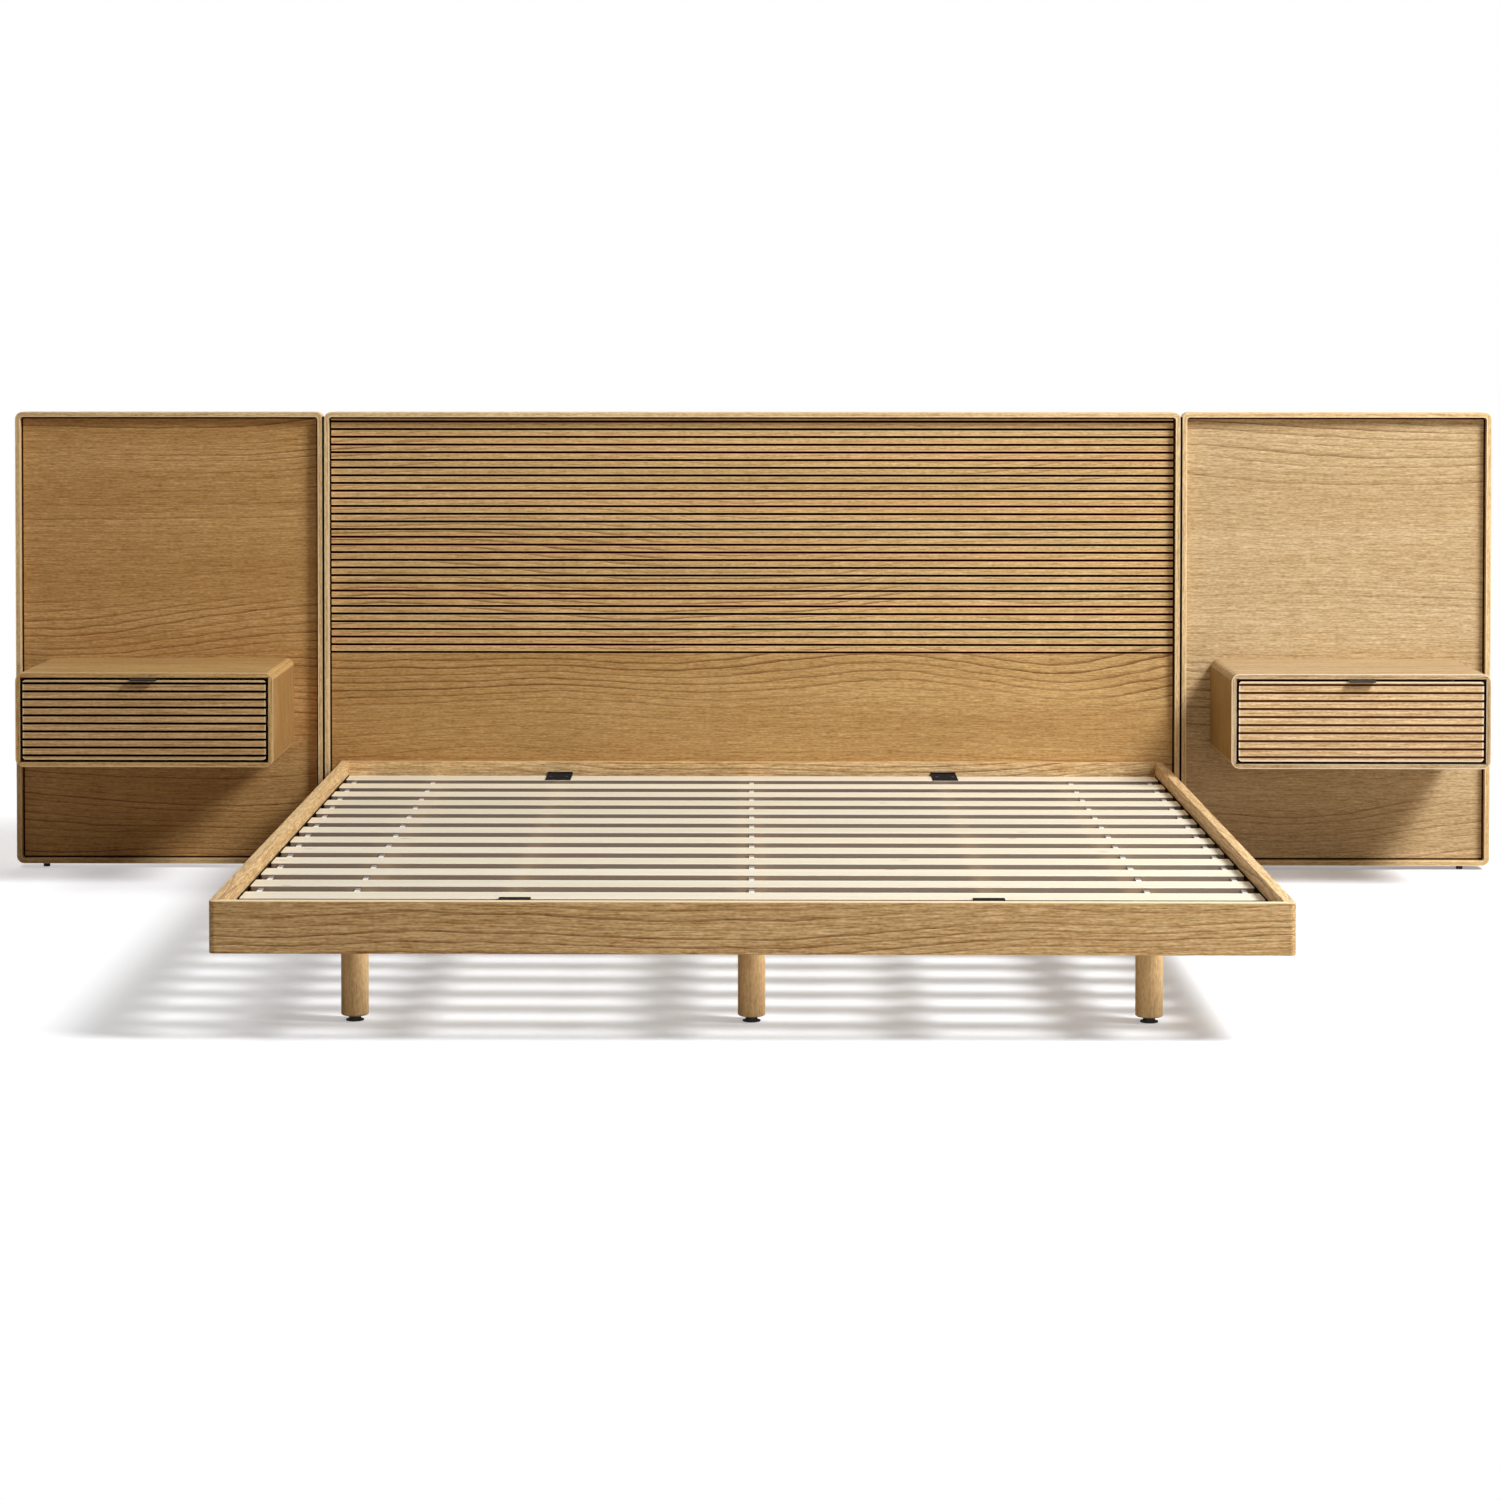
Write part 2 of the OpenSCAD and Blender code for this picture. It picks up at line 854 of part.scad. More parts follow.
module case_bolts(side) {
    color("silver")
        at_case_bolts(side)
            fastener(bolt_dia, case_back_t + side_board_t + bolt_bite, bolt_head_dia, bolt_head_h);
}

// ---- drawer runners ----

// A rolled channel with its web at the left
module channel(deep, h) {
    difference() {
        translate([0, -h / 2])
            square([deep, h]);
        translate([runner_t, runner_t - h / 2])
            square([deep, h - 2 * runner_t]);
    }
}

// Draws a runner's plan on both side walls of a case, X counted from the wall
module runner_pair(side) {
    for (s = PAIR)
        upright(side * side_x, runner_y, case_mid_z, runner_l)
            translate([-s * bay_w / 2, 0])
                mirror([s > 0 ? 0 : 1, 0])
                    children();
}

module runner_outers(side) {
    color("silver")
        runner_pair(side)
            channel(runner_deep, runner_h);
}

module runner_middles(side) {
    color("gray")
        runner_pair(side)
            translate([runner_t + runner_run, 0])
                channel(runner_deep, middle_h);
}

module runner_inners(side) {
    color("silver")
        runner_pair(side)
            translate([runner_space, 0])
                mirror([1, 0])
                    channel(inner_deep, inner_h);
}

// ---- drawers ----

// Screws through the box's front board into the drawer front, heads inside the box
module at_front_screws(side) {
    for (sx = PAIR, sz = PAIR)
        translate([
            side * side_x + sx * (box_w / 2 - 3 * box_t),
            front_back_y + box_t,
            case_mid_z + sz * box_h / 4
        ])
            rotate([-90, 0, 0])
                children();
}

module at_pull_screws(side) {
    for (s = PAIR)
        translate([side * side_x + s * pull_screw_x, case_front_y + front_t / 2, front_top + pull_t])
            children();
}

module drawer_front(side) {
    color("burlywood")
        difference() {
            upright(side * side_x, front_back_y, case_mid_z, front_t)
                rounded_rect(front_w, front_h, max(0.5, case_in_r - front_gap));
            for (i = [0:front_groove_count - 1])
                translate([
                    side * side_x - front_w / 2 - 1,
                    case_front_y - 1,
                    front_top - front_groove_start - i * groove_pitch - groove_w / 2
                ])
                    cube([front_w + 2, groove_deep + 1, groove_w]);
            at_front_screws(side)
                fastener_hole(screw_dia, box_t + screw_bite + hole_fit);
            at_pull_screws(side)
                fastener_hole(screw_dia, pull_t + screw_bite + hole_fit);
        }
}

// Two side boards with the front and back boards glued in between
module drawer_box(side) {
    color("wheat")
        difference() {
            union() {
                for (s = PAIR)
                    translate([side * side_x + s * (box_w - box_t) / 2 - box_t / 2, front_back_y, box_z])
                        cube([box_t, box_l, box_h]);
                for (y = [front_back_y, front_back_y + box_l - box_t])
                    translate([side * side_x - box_w / 2 + box_t + glue_line, y, box_z])
                        cube([box_w - 2 * box_t - 2 * glue_line, box_t, box_h]);
            }
            at_front_screws(side)
                fastener_hole(screw_dia, box_t + 1);
        }
}

module drawer_bottom(side) {
    w = box_w - 2 * box_t;
    color("antiquewhite")
        translate([side * side_x - w / 2, front_back_y + box_t, box_z + bottom_lift])
            cube([w, box_l - 2 * box_t, bottom_t]);
}

module drawer_pull(side) {
    color("black")
        difference() {
            across(side * side_x, pull_w) {
                translate([case_front_y - pull_out, front_top])
                    square([pull_out + pull_seat, pull_t]);
                translate([case_front_y - pull_out, front_top - pull_lip])
                    square([pull_t, pull_lip + pull_t]);
            }
            at_pull_screws(side) {
                fastener_hole(screw_dia, pull_t + 1);
                translate([0, 0, -screw_head_h])
                    cylinder(d = screw_head_dia + 2 * hole_fit, h = screw_head_h + 1);
            }
        }
}

module drawer_screws(side) {
    color("silver") {
        at_front_screws(side)
            fastener(screw_dia, box_t + screw_bite, screw_head_dia, screw_head_h);
        translate([0, 0, -screw_head_h])
            at_pull_screws(side)
                fastener(screw_dia, pull_t - screw_head_h + screw_bite, screw_head_dia, screw_head_h);
    }
}

centre_grooved_board();
centre_plain_board();
centre_backing_board();
edging(0, centre_w);  // centre_edging
side_panel_board(LEFT);  // left_panel_board
edging(-side_x, side_w);  // left_edging
side_panel_board(RIGHT);  // right_panel_board
edging(side_x, side_w);  // right_edging
headboard_battens();
joining_plates();
joining_screws();
headboard_feet();
rail(WEST);  // left_side_rail
rail(EAST);  // right_side_rail
rail(BOTTOM);  // foot_rail
rail(TOP);  // head_rail
corner_blocks();
corner_bolts();
headboard_bolts();
slat_ledger(LEFT);  // left_slat_ledger
slat_ledger(RIGHT);  // right_slat_ledger
slats();
slat_tapes();
slat_brackets();
slat_bracket_screws();
joist(-joist_x);  // left_joist
joist(0);  // centre_joist
joist(joist_x);  // right_joist
support_bars();
joist_hangers();
legs();
leg_studs();
leg_glides();
case_wall(LEFT, TOP);  // left_case_top
case_wall(LEFT, BOTTOM);  // left_case_bottom
case_wall(LEFT, WEST);  // left_case_outer_side
case_wall(LEFT, EAST);  // left_case_inner_side
case_back(LEFT);  // left_case_back
case_bolts(LEFT);  // left_case_bolts
runner_outers(LEFT);  // left_runner_outers
runner_middles(LEFT);  // left_runner_middles
runner_inners(LEFT);  // left_runner_inners
drawer_front(LEFT);  // left_drawer_front
drawer_box(LEFT);  // left_drawer_box
drawer_bottom(LEFT);  // left_drawer_bottom
drawer_pull(LEFT);  // left_drawer_pull
drawer_screws(LEFT);  // left_drawer_screws
case_wall(RIGHT, TOP);  // right_case_top
case_wall(RIGHT, BOTTOM);  // right_case_bottom
case_wall(RIGHT, EAST);  // right_case_outer_side
case_wall(RIGHT, WEST);  // right_case_inner_side
case_back(RIGHT);  // right_case_back
case_bolts(RIGHT);  // right_case_bolts
runner_outers(RIGHT);  // right_runner_outers
runner_middles(RIGHT);  // right_runner_middles
runner_inners(RIGHT);  // right_runner_inners
drawer_front(RIGHT);  // right_drawer_front
drawer_box(RIGHT);  // right_drawer_box
drawer_bottom(RIGHT);  // right_drawer_bottom
drawer_pull(RIGHT);  // right_drawer_pull
drawer_screws(RIGHT);  // right_drawer_screws
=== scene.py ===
# A low oak bed with a three-panel headboard and two floating nightstands: its looks.
import bpy
import math
from mathutils import Matrix, Vector


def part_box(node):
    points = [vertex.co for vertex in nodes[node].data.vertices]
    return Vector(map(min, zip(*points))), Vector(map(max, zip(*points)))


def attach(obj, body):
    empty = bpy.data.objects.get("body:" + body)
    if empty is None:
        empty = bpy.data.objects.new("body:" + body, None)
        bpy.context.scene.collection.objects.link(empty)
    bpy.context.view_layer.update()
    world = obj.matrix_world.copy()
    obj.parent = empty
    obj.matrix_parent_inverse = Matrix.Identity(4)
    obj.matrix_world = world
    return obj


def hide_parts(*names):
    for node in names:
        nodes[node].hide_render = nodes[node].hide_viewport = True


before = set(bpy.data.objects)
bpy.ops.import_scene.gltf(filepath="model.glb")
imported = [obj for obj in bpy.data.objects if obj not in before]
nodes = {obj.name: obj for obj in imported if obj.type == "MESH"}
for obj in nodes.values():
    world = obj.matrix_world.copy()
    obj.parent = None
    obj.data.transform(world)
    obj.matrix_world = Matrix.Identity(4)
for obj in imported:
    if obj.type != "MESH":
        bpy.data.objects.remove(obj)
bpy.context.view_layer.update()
sides = ("left", "right")
mm = 0.001
print("frame loaded:", len(nodes), "nodes")

camera = dict(
    place=(-0.0011, -7.4178, 1.3048),
    pitch=math.radians(-1.478),  # looks a little down
    roll=math.radians(0.016),
    yaw=math.radians(0.593),
    lens=83.823,
    frameWidth=36.0,
    shiftX=0.0232,
    shiftY=-0.22,
    clipEnd=200.0,
)


def addCamera():
    data = bpy.data.cameras.new("camera")
    data.sensor_width = camera["frameWidth"]
    data.lens = camera["lens"]
    data.shift_x = camera["shiftX"]
    data.shift_y = camera["shiftY"]
    data.clip_end = camera["clipEnd"]
    cameraObject = bpy.data.objects.new("camera", data)
    bpy.context.scene.collection.objects.link(cameraObject)
    tilt = Matrix.Rotation(math.radians(90) + camera["pitch"], 4, "X")
    turn = Matrix.Rotation(camera["yaw"], 4, "Z") @ tilt @ Matrix.Rotation(camera["roll"], 4, "Z")
    cameraObject.matrix_world = Matrix.Translation(camera["place"]) @ turn
    bpy.context.scene.camera = cameraObject


addCamera()
print("camera placed")


class Val:  # a socket that adds Math nodes as it is reckoned with
    def __init__(self, finish, socket):
        self.finish = finish
        self.socket = socket

    def reckon(self, operation, *numbers):
        return self.finish.node("ShaderNodeMath", {"operation": operation}, dict(enumerate(numbers)))

    def __add__(self, other):
        return self.reckon("ADD", self, other)

    def __radd__(self, other):
        return self.reckon("ADD", other, self)

    def __sub__(self, other):
        return self.reckon("SUBTRACT", self, other)

    def __rsub__(self, other):
        return self.reckon("SUBTRACT", other, self)

    def __mul__(self, other):
        return self.reckon("MULTIPLY", self, other)

    def __rmul__(self, other):
        return self.reckon("MULTIPLY", other, self)

    def __truediv__(self, other):
        return self.reckon("DIVIDE", self, other)

    def __pow__(self, other):
        return self.reckon("POWER", self, other)

    def __abs__(self):
        return self.reckon("ABSOLUTE", self)

    def sine(self):
        return self.reckon("SINE", self)

    def floor(self):
        return self.reckon("FLOOR", self)

    def fract(self):
        return self.reckon("FRACT", self)

    def below(self, limit):
        return self.reckon("LESS_THAN", self, limit)

    def least(self, other):
        return self.reckon("MINIMUM", self, other)

    def most(self, other):
        return self.reckon("MAXIMUM", self, other)

    def between(self, low, high):  # low at 0 and high at 1
        return self * (high - low) + low

    def rise(self, low, high):  # 0 up to low, 1 from high on, smooth between
        settings = {"interpolation_type": "SMOOTHSTEP"}
        values = {"Value": self, "From Min": low, "From Max": high}
        return self.finish.node("ShaderNodeMapRange", settings, values)


warmth = (0.75, 1.0, 1.4)  # how much red, green and blue follow a change of tone
dullLook = {"Roughness": 0.9, "Specular IOR Level": 0.0}


class Finish:  # a material or the world, and the nodes in it
    def __init__(self, owner):
        owner.use_nodes = True
        self.owner = owner
        self.tree = owner.node_tree
        self.tree.nodes.clear()
        self.dull = None  # becomes the share of a surface that has no shine

    def node(self, kind, settings, values, out=0):
        made = self.tree.nodes.new(kind)
        for name, setting in settings.items():
            setattr(made, name, setting)
        for name, value in values.items():
            if isinstance(value, Val):
                self.tree.links.new(value.socket, made.inputs[name])
            elif made.inputs[name].type == "RGBA":
                made.inputs[name].default_value = (*value, 1.0)
            else:
                made.inputs[name].default_value = value
        return Val(self, made.outputs[out]) if len(made.outputs) else None

    def place(self):  # x, y and z of the piece's own coordinates
        coordinates = self.node("ShaderNodeTexCoord", {}, {}, "Object")
        return [self.node("ShaderNodeSeparateXYZ", {}, {"Vector": coordinates}, axis) for axis in "XYZ"]

    def vector(self, x, y, z):
        return self.node("ShaderNodeCombineXYZ", {}, {"X": x, "Y": y, "Z": z})

    def noise(self, x, y, z, detail=0.0, roughness=0.5):
        values = {"Vector": self.vector(x, y, z), "Scale": 1.0, "Detail": detail, "Roughness": roughness}
        return self.node("ShaderNodeTexNoise", {}, values)

    def lot(self, number):  # the same chance value for the same number
        return self.node("ShaderNodeTexWhiteNoise", {"noise_dimensions": "1D"}, {"W": number})

    def blend(self, share, first, second, way="MIX"):
        settings = {"data_type": "RGBA", "blend_type": way}
        return self.node("ShaderNodeMix", settings, {0: share, 6: first, 7: second}, 2)

    def shaded(self, colour, shade):
        return self.blend(1.0, colour, self.vector(shade, shade, shade), "MULTIPLY")

    def toned(self, colour, change):  # what is darker is also warmer
        shades = self.vector(*(change * share + 1.0 for share in warmth))
        return self.blend(1.0, colour, shades, "MULTIPLY")

    def sink(self, share, colour, paintedShade):  # darkens a colour and takes its shine away, for painted shade
        self.dull = self.dull.most(share) if self.dull else share
        return self.blend(share, colour, paintedShade)

    def surface(self, colour, roughness, height, bump, constants):
        strength, distance = bump
        bumps = {"Height": height, "Strength": strength, "Distance": distance}
        normal = self.node("ShaderNodeBump", {}, bumps)
        values = {"Base Color": colour, "Roughness": roughness, "Normal": normal, **constants}
        shader = self.node("ShaderNodeBsdfPrincipled", {}, values)
        if self.dull:
            values = {"Base Color": colour, "Normal": normal, **dullLook}
            plain = self.node("ShaderNodeBsdfPrincipled", {}, values)
            shader = self.node("ShaderNodeMixShader", {}, {0: self.dull, 1: shader, 2: plain})
        self.node("ShaderNodeOutputMaterial", {}, {"Surface": shader})
        return self.owner


def srgb(*levels):  # a colour as a picture shows it, red, green and blue from 0 to 255
    return tuple(((c / 255 + 0.055) / 1.055) ** 2.4 if c > 10 else c / 255 / 12.92 for c in levels)


oak = dict(
    light=srgb(198, 161, 105),
    deep=srgb(181, 141, 86),
    ring=srgb(112, 68, 28),
    pore=srgb(92, 60, 28),
    flow=(1.1, 2.2),  # how fast the rings wander, along and across
    wander=12.0,
    rings=58.0,  # per metre
    ripple=0.55,
    lineWidth=0.4,  # share of a ring that its dark line fades over
    lineShare=0.9,
    bands=(0.5, 5.0),  # the rings show in bands
    toneShare=0.8,
    streakShare=0.6,
    fibreShare=1.3,
    speckShare=0.9,
    poreShare=0.55,
    poreSize=(34.0, 420.0),
    rough=(0.46, 0.60),
    bump=(0.35, 0.0005),
    coat=0.02,
    shine=0.2,
)
grooveOak = dict(
    oak,
    light=srgb(212, 174, 119),
    deep=srgb(195, 155, 100),
    pale=srgb(255, 226, 178),
    shadedCore=srgb(54, 12, 2),  # painted shade deep in a groove
    arris=0.45,
)
edgingOak = dict(
    oak,
    light=srgb(222, 190, 138),
    deep=srgb(208, 172, 118),
    lineShare=0.3,
    fibreShare=0.8,
    pale=srgb(250, 232, 198),
    paleShare=0.6,
    seedStep=3.7,
)
# partly painted light: the rails' oak is made paler to light their tops
railOak = dict(
    oak,
    light=srgb(220, 186, 134),
    deep=srgb(204, 166, 114),
    ring=srgb(146, 102, 58),
    fibreShare=1.9,
    streakShare=0.9,
    rings=70.0,
    pale=srgb(252, 226, 184),
)
# its paler colour is partly the legs' own oak and partly painted light, for the light under the bed
legOak = dict(
    oak,
    light=srgb(242, 208, 156),
    deep=srgb(228, 190, 136),
    ring=srgb(196, 154, 102),
    rings=90.0,
    wander=5.0,
    lineShare=0.12,
    streakShare=0.2,
    fibreShare=0.35,
    speckShare=0.7,
    poreShare=0.2,
)
# the left and right copies differ partly as painted light and shade, besides their own tone
sideOak = {
    "left": dict(oak, light=srgb(196, 154, 98), deep=srgb(179, 136, 80)),
    "right": dict(oak, light=srgb(200, 174, 132), deep=srgb(187, 157, 113), ring=srgb(140, 104, 66)),
}
# the left and right copies differ partly as painted light and shade, besides their own tone
caseOak = {
    "left": dict(
        oak,
        light=srgb(204, 165, 107),
        deep=srgb(192, 150, 91),
        pale=srgb(236, 208, 160),
        fibreShare=1.0,
        streakShare=1.7,
        lineShare=0.5,
        side=(0.64, 0.57, 0.50),  # painted shade: what the outer sides and the top keep of their colour
        top=0.76,
    ),
    "right": dict(
        oak,
        light=srgb(190, 162, 122),
        deep=srgb(180, 150, 108),
        pale=srgb(252, 236, 208),
        fibreShare=1.0,
        streakShare=1.5,
        lineShare=0.5,
        side=(0.62, 0.50, 0.27),
        top=0.93,
    ),
}
# the drawers' grooves take painted shade, darkest in the left drawer
drawerOak = {
    "left": dict(
        caseOak["left"],
        light=srgb(208, 168, 114),
        deep=srgb(194, 152, 98),
        shadedCore=srgb(34, 8, 2),
        arris=0.45,
    ),
    "right": dict(
        caseOak["right"],
        light=srgb(217, 183, 137),
        deep=srgb(205, 169, 121),
        shadedCore=srgb(136, 86, 44),
        arris=0.25,
    ),
}
field = dict(  # what all woods share; two sizes are per metre, along and across the grain
    slow=(1.0, 0.45),  # detail and roughness
    waver=(9.0, 34.0),
    lean=0.7,  # how far the rings move with depth
    bandStart=9.0,
    bandEdge=(0.42, 0.60),
    faintest=0.25,  # a ring's line outside the bands
    yearLeast=0.2,
    broad=(0.6, 9.0),
    broadEdge=(0.32, 0.68),
    streak=(6.0, 180.0),
    fibre=(26.0, 330.0),
    speck=(100.0, 300.0),
    fine=(2.0, 0.6),  # detail and roughness
    poreEdge=(0.54, 0.68),
    poreLeast=0.2,
    lateFrom=0.7,  # a ring's last part is a little paler
    lateShare=0.12,
    poreRough=0.15,
    fibreHeight=0.4,
    poreDepth=0.8,
    coatRough=0.3,
)
grainOrder = {"x": (0, 2, 1), "y": (1, 2, 0), "z": (2, 0, 1)}  # what lies along, across and deep


def stretched(finish, grain, size, *detail):  # noise that is drawn out along the grain
    along, across, deep = grain
    return finish.noise(along * size[0], across * size[1], deep * size[1], *detail)


def woodGrain(finish, along, across, deep, wood, seed=0.0):
    # the rings are contours of a slow field that is stretched along the grain
    start = along + seed
    grain = (start, across, deep)
    slow = stretched(finish, grain, wood["flow"], *field["slow"])
    waver = stretched(finish, grain, field["waver"], 2.0)
    phase = (across + deep * field["lean"]) * wood["rings"] + slow * wood["wander"] + waver * wood["ripple"]
    year = finish.lot(phase.floor())
    part = phase.fract()
    bandAlong, bandAcross = wood["bands"]
    band = finish.noise(start * bandAlong, across * bandAcross + field["bandStart"], deep * bandAcross, 1.0)
    shown = band.rise(*field["bandEdge"]).between(field["faintest"], 1.0)
    line = (1.0 - part.rise(0.0, wood["lineWidth"])) * year.between(field["yearLeast"], 1.0) * shown
    # tone wanders broadly, fibres and specks lie over it, and open pores lie in dashes along the rings
    broad = stretched(finish, grain, field["broad"], *field["fine"]).rise(*field["broadEdge"])
    streak = stretched(finish, grain, field["streak"], *field["fine"])
    fibre = stretched(finish, grain, field["fibre"], *field["fine"])
    speck = stretched(finish, grain, field["speck"], 1.0)
    dash = stretched(finish, grain, wood["poreSize"], 1.0).rise(*field["poreEdge"])
    dashes = dash * line.between(field["poreLeast"], 1.0)
    colour = finish.blend(broad * wood["toneShare"], wood["light"], wood["deep"])
    colour = finish.blend(line * wood["lineShare"], colour, wood["ring"])
    change = (streak - 0.5) * wood["streakShare"] + (fibre - 0.5) * wood["fibreShare"]
    change = change + (speck - 0.5) * wood["speckShare"]
    change = change + part.rise(field["lateFrom"], 1.0) * shown * field["lateShare"]
    colour = finish.toned(colour, change)
    colour = finish.blend(dashes * wood["poreShare"], colour, wood["pore"])
    roughness = fibre.between(*wood["rough"]) + dashes * field["poreRough"]
    height = fibre * field["fibreHeight"] - dashes * field["poreDepth"]
    return colour, roughness, height


def finishWood(finish, grain, wood):
    colour, roughness, height = grain
    constants = {
        "Coat Weight": wood["coat"],
        "Coat Roughness": field["coatRough"],
        "Specular IOR Level": wood["shine"],
    }
    return finish.surface(colour, roughness, height, wood["bump"], constants)


def makeWood(name, wood, grain, seed, *touches):
    finish = Finish(bpy.data.materials.new(name))
    place = finish.place()
    along, across, deep = (place[i] for i in grainOrder[grain])
    colour, roughness, height = woodGrain(finish, along, across, deep, wood, seed)
    for touch in touches:
        colour = touch(finish, place, colour)
    return finishWood(finish, (colour, roughness, height), wood)


def paint(material, *names):
    for name in names:
        mesh = nodes[name].data
        mesh.materials.clear()
        mesh.materials.append(material)


def span(*names):  # the middle, half size and front of the box round some nodes
    boxes = [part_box(name) for name in names]
    low = Vector([min(box[0][i] for box in boxes) for i in range(3)])
    high = Vector([max(box[1][i] for box in boxes) for i in range(3)])
    return (low + high) / 2, (high - low) / 2, low.y


def fromRim(place, middle, half, radius):  # how far inside a rounded frame's outer face
    x = abs(place[0] - middle.x) - (half.x - radius)
    z = abs(place[2] - middle.z) - (half.z - radius)
    outX = x.most(0.0)
    outZ = z.most(0.0)
    return radius - (outX * outX + outZ * outZ) ** 0.5 - x.most(z).least(0.0)


frameShape = dict(
    edging=12.0 * mm,
    edgingRadius=18.0 * mm,
    caseWall=12.5 * mm,
    caseRadius=20.0 * mm,
    front=1.0,  # a drawer front is all face, so only its outer edge gets the painted highlight
    frontRadius=8.0 * mm,
)
groove = dict(
    shadeDepth=(0.3 * mm, 1.0 * mm),  # painted shade begins this far behind the front
    pitch=18.65 * mm,
    firstInFrame=11.0 * mm,
    firstInDrawer=9.0 * mm,
    lineHalf=2.7 * mm,  # painted shade in a groove's corners this far from its middle
    lineSoft=0.5 * mm,
    arrisTo=4.6 * mm,  # and a painted highlight on the lands up to here
    arrisSoft=0.8 * mm,
)
# painted shade, where shade falls in seams, gaps, recesses and under the slats
paintedShade = dict(
    seam=srgb(32, 12, 6),
    seamShare=0.97,
    seamDepth=(1.6 * mm, 1.0 * mm),  # painted shade: an edging darkens from the first to the second near its seam
    border=(3.8 * mm, 5.2 * mm),  # and painted shade on a board near its edging
    drawerRim=(1.0 * mm, 1.5 * mm),
    caseRim=1.5 * mm,  # the last of a case's wall gets the painted shade of its inside
    soft=0.3 * mm,
    insideShare=0.95,
    railSkin=0.2 * mm,
    railSoft=0.1 * mm,
    railDepth=1.5 * mm,
)
# painted highlights along edges and on the rails' tops
pale = dict(
    reach=2.0 * mm,
    drawerReach=4.4 * mm,
    soft=0.6 * mm,
    front=(0.8 * mm, 1.6 * mm),  # the painted highlight on the front ends this far back
    caseShare=0.75,
    railTop=(1.6 * mm, 0.6 * mm),
    sideRailShare=0.12,
    footRailShare=0.8,
)
shade = dict(
    outer=(0.6 * mm, 0.3 * mm),  # how near to an outer face the shade begins and is full
    front=(1.0 * mm, 3.0 * mm),
    topReach=0.6 * mm,
    cornerReach=14.0 * mm,
    topFull=0.3 * mm,
)


def paintedGrooveShade(front, first, wood):  # painted shade in the grooves and behind the front, and painted highlights on the lands' edges
    def darken(finish, place, colour):
        turn = ((first - place[2]) / groove["pitch"] + 0.5).fract() - 0.5
        away = abs(turn) * groove["pitch"]
        arris = 1.0 - away.rise(groove["arrisTo"] - groove["arrisSoft"], groove["arrisTo"])
        colour = finish.blend(arris * wood["arris"], colour, wood["pale"])
        corner = 1.0 - away.rise(groove["lineHalf"], groove["lineHalf"] + groove["lineSoft"])
        below = (place[1] - front).rise(*groove["shadeDepth"])
        return finish.sink(corner.most(below), colour, wood["shadedCore"])
    return darken


def paintedGapShade(name, radius):  # painted shade: the edges of a drawer front are dark in their gap
    middle, half, _ = span(name)

    def darken(finish, place, colour):
        side = 1.0 - fromRim(place, middle, half, radius).rise(*paintedShade["drawerRim"])
        return finish.sink(side, colour, paintedShade["seam"])
    return darken


def paintedBorderShade(*names, clear=0):  # painted shade: a board is dark along its edging, but for the side that is clear
    middle, half, _ = span(*names)

    def darken(finish, place, colour):
        x = place[0] - middle.x
        level = half.z - abs(place[2] - middle.z)
        inside = (half.x - (abs(x) if clear == 0 else x * -clear)).least(level)
        share = 1.0 - inside.rise(*paintedShade["border"])
        return finish.sink(share * paintedShade["seamShare"], colour, paintedShade["seam"])
    return darken


def paintedEdgeHighlight(names, radius, width, wood, share, reach=pale["reach"]):  # painted highlight: a front is paler near its edges
    middle, half, front = span(*names)

    def lighten(finish, place, colour):
        away = abs(fromRim(place, middle, half, radius) - width / 2)
        near = away.rise(width / 2 - reach - pale["soft"], width / 2 - reach + pale["soft"])
        onFront = 1.0 - (place[1] - front).rise(*pale["front"])
        return finish.blend(near * onFront * share, colour, wood["pale"])
    return lighten


def paintedInsideShade(names):  # painted shade: a case is dark behind its rim, where shade falls inside
    middle, half, _ = span(*names)
    wall = frameShape["caseWall"] - paintedShade["caseRim"]

    def darken(finish, place, colour):
        inside = (half.x - wall - abs(place[0] - middle.x)).least(half.z - wall - abs(place[2] - middle.z))
        return finish.sink(inside.rise(0.0, paintedShade["soft"]) * paintedShade["insideShare"], colour, paintedShade["seam"])
    return darken


def shadeOuter(names, wood):  # painted shade: a case's outer sides are darker than its rim
    middle, half, front = span(*names)

    def darken(finish, place, colour):
        outer = abs(place[0] - middle.x).rise(*(half.x - depth for depth in shade["outer"]))
        outer = outer * (place[1] - front).rise(*shade["front"])
        return finish.blend(outer, colour, finish.blend(1.0, colour, wood["side"], "MULTIPLY"))
    return darken


def shadeTop(names, wood, reach):  # painted shade: and so is its top
    middle, half, front = span(*names)
    level = middle.z + half.z

    def darken(finish, place, colour):
        upper = place[2].rise(level - reach, level - shade["topFull"])
        upper = upper * (place[1] - front).rise(*shade["front"])
        return finish.shaded(colour, 1.0 - upper * (1.0 - wood["top"]))
    return darken


def paintedRailShade(finish, place, colour):  # painted shade: the rails' inner faces are dark under the slats' tops
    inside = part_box("right_side_rail")[0].x + paintedShade["railSkin"] - abs(place[0])
    inside = inside.least(place[1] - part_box("foot_rail")[1].y + paintedShade["railSkin"])
    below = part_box("slats")[1].z - place[2]
    share = inside.rise(0.0, paintedShade["railSoft"]) * below.rise(0.0, paintedShade["railDepth"])
    return finish.sink(share * paintedShade["insideShare"], colour, paintedShade["seam"])


def paintedTopHighlight(share):  # painted highlight: the rails' tops are paler than their sides
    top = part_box("foot_rail")[1].z

    def lighten(finish, place, colour):
        upper = place[2].rise(*(top - depth for depth in pale["railTop"]))
        return finish.blend(upper * share, colour, railOak["pale"])
    return lighten


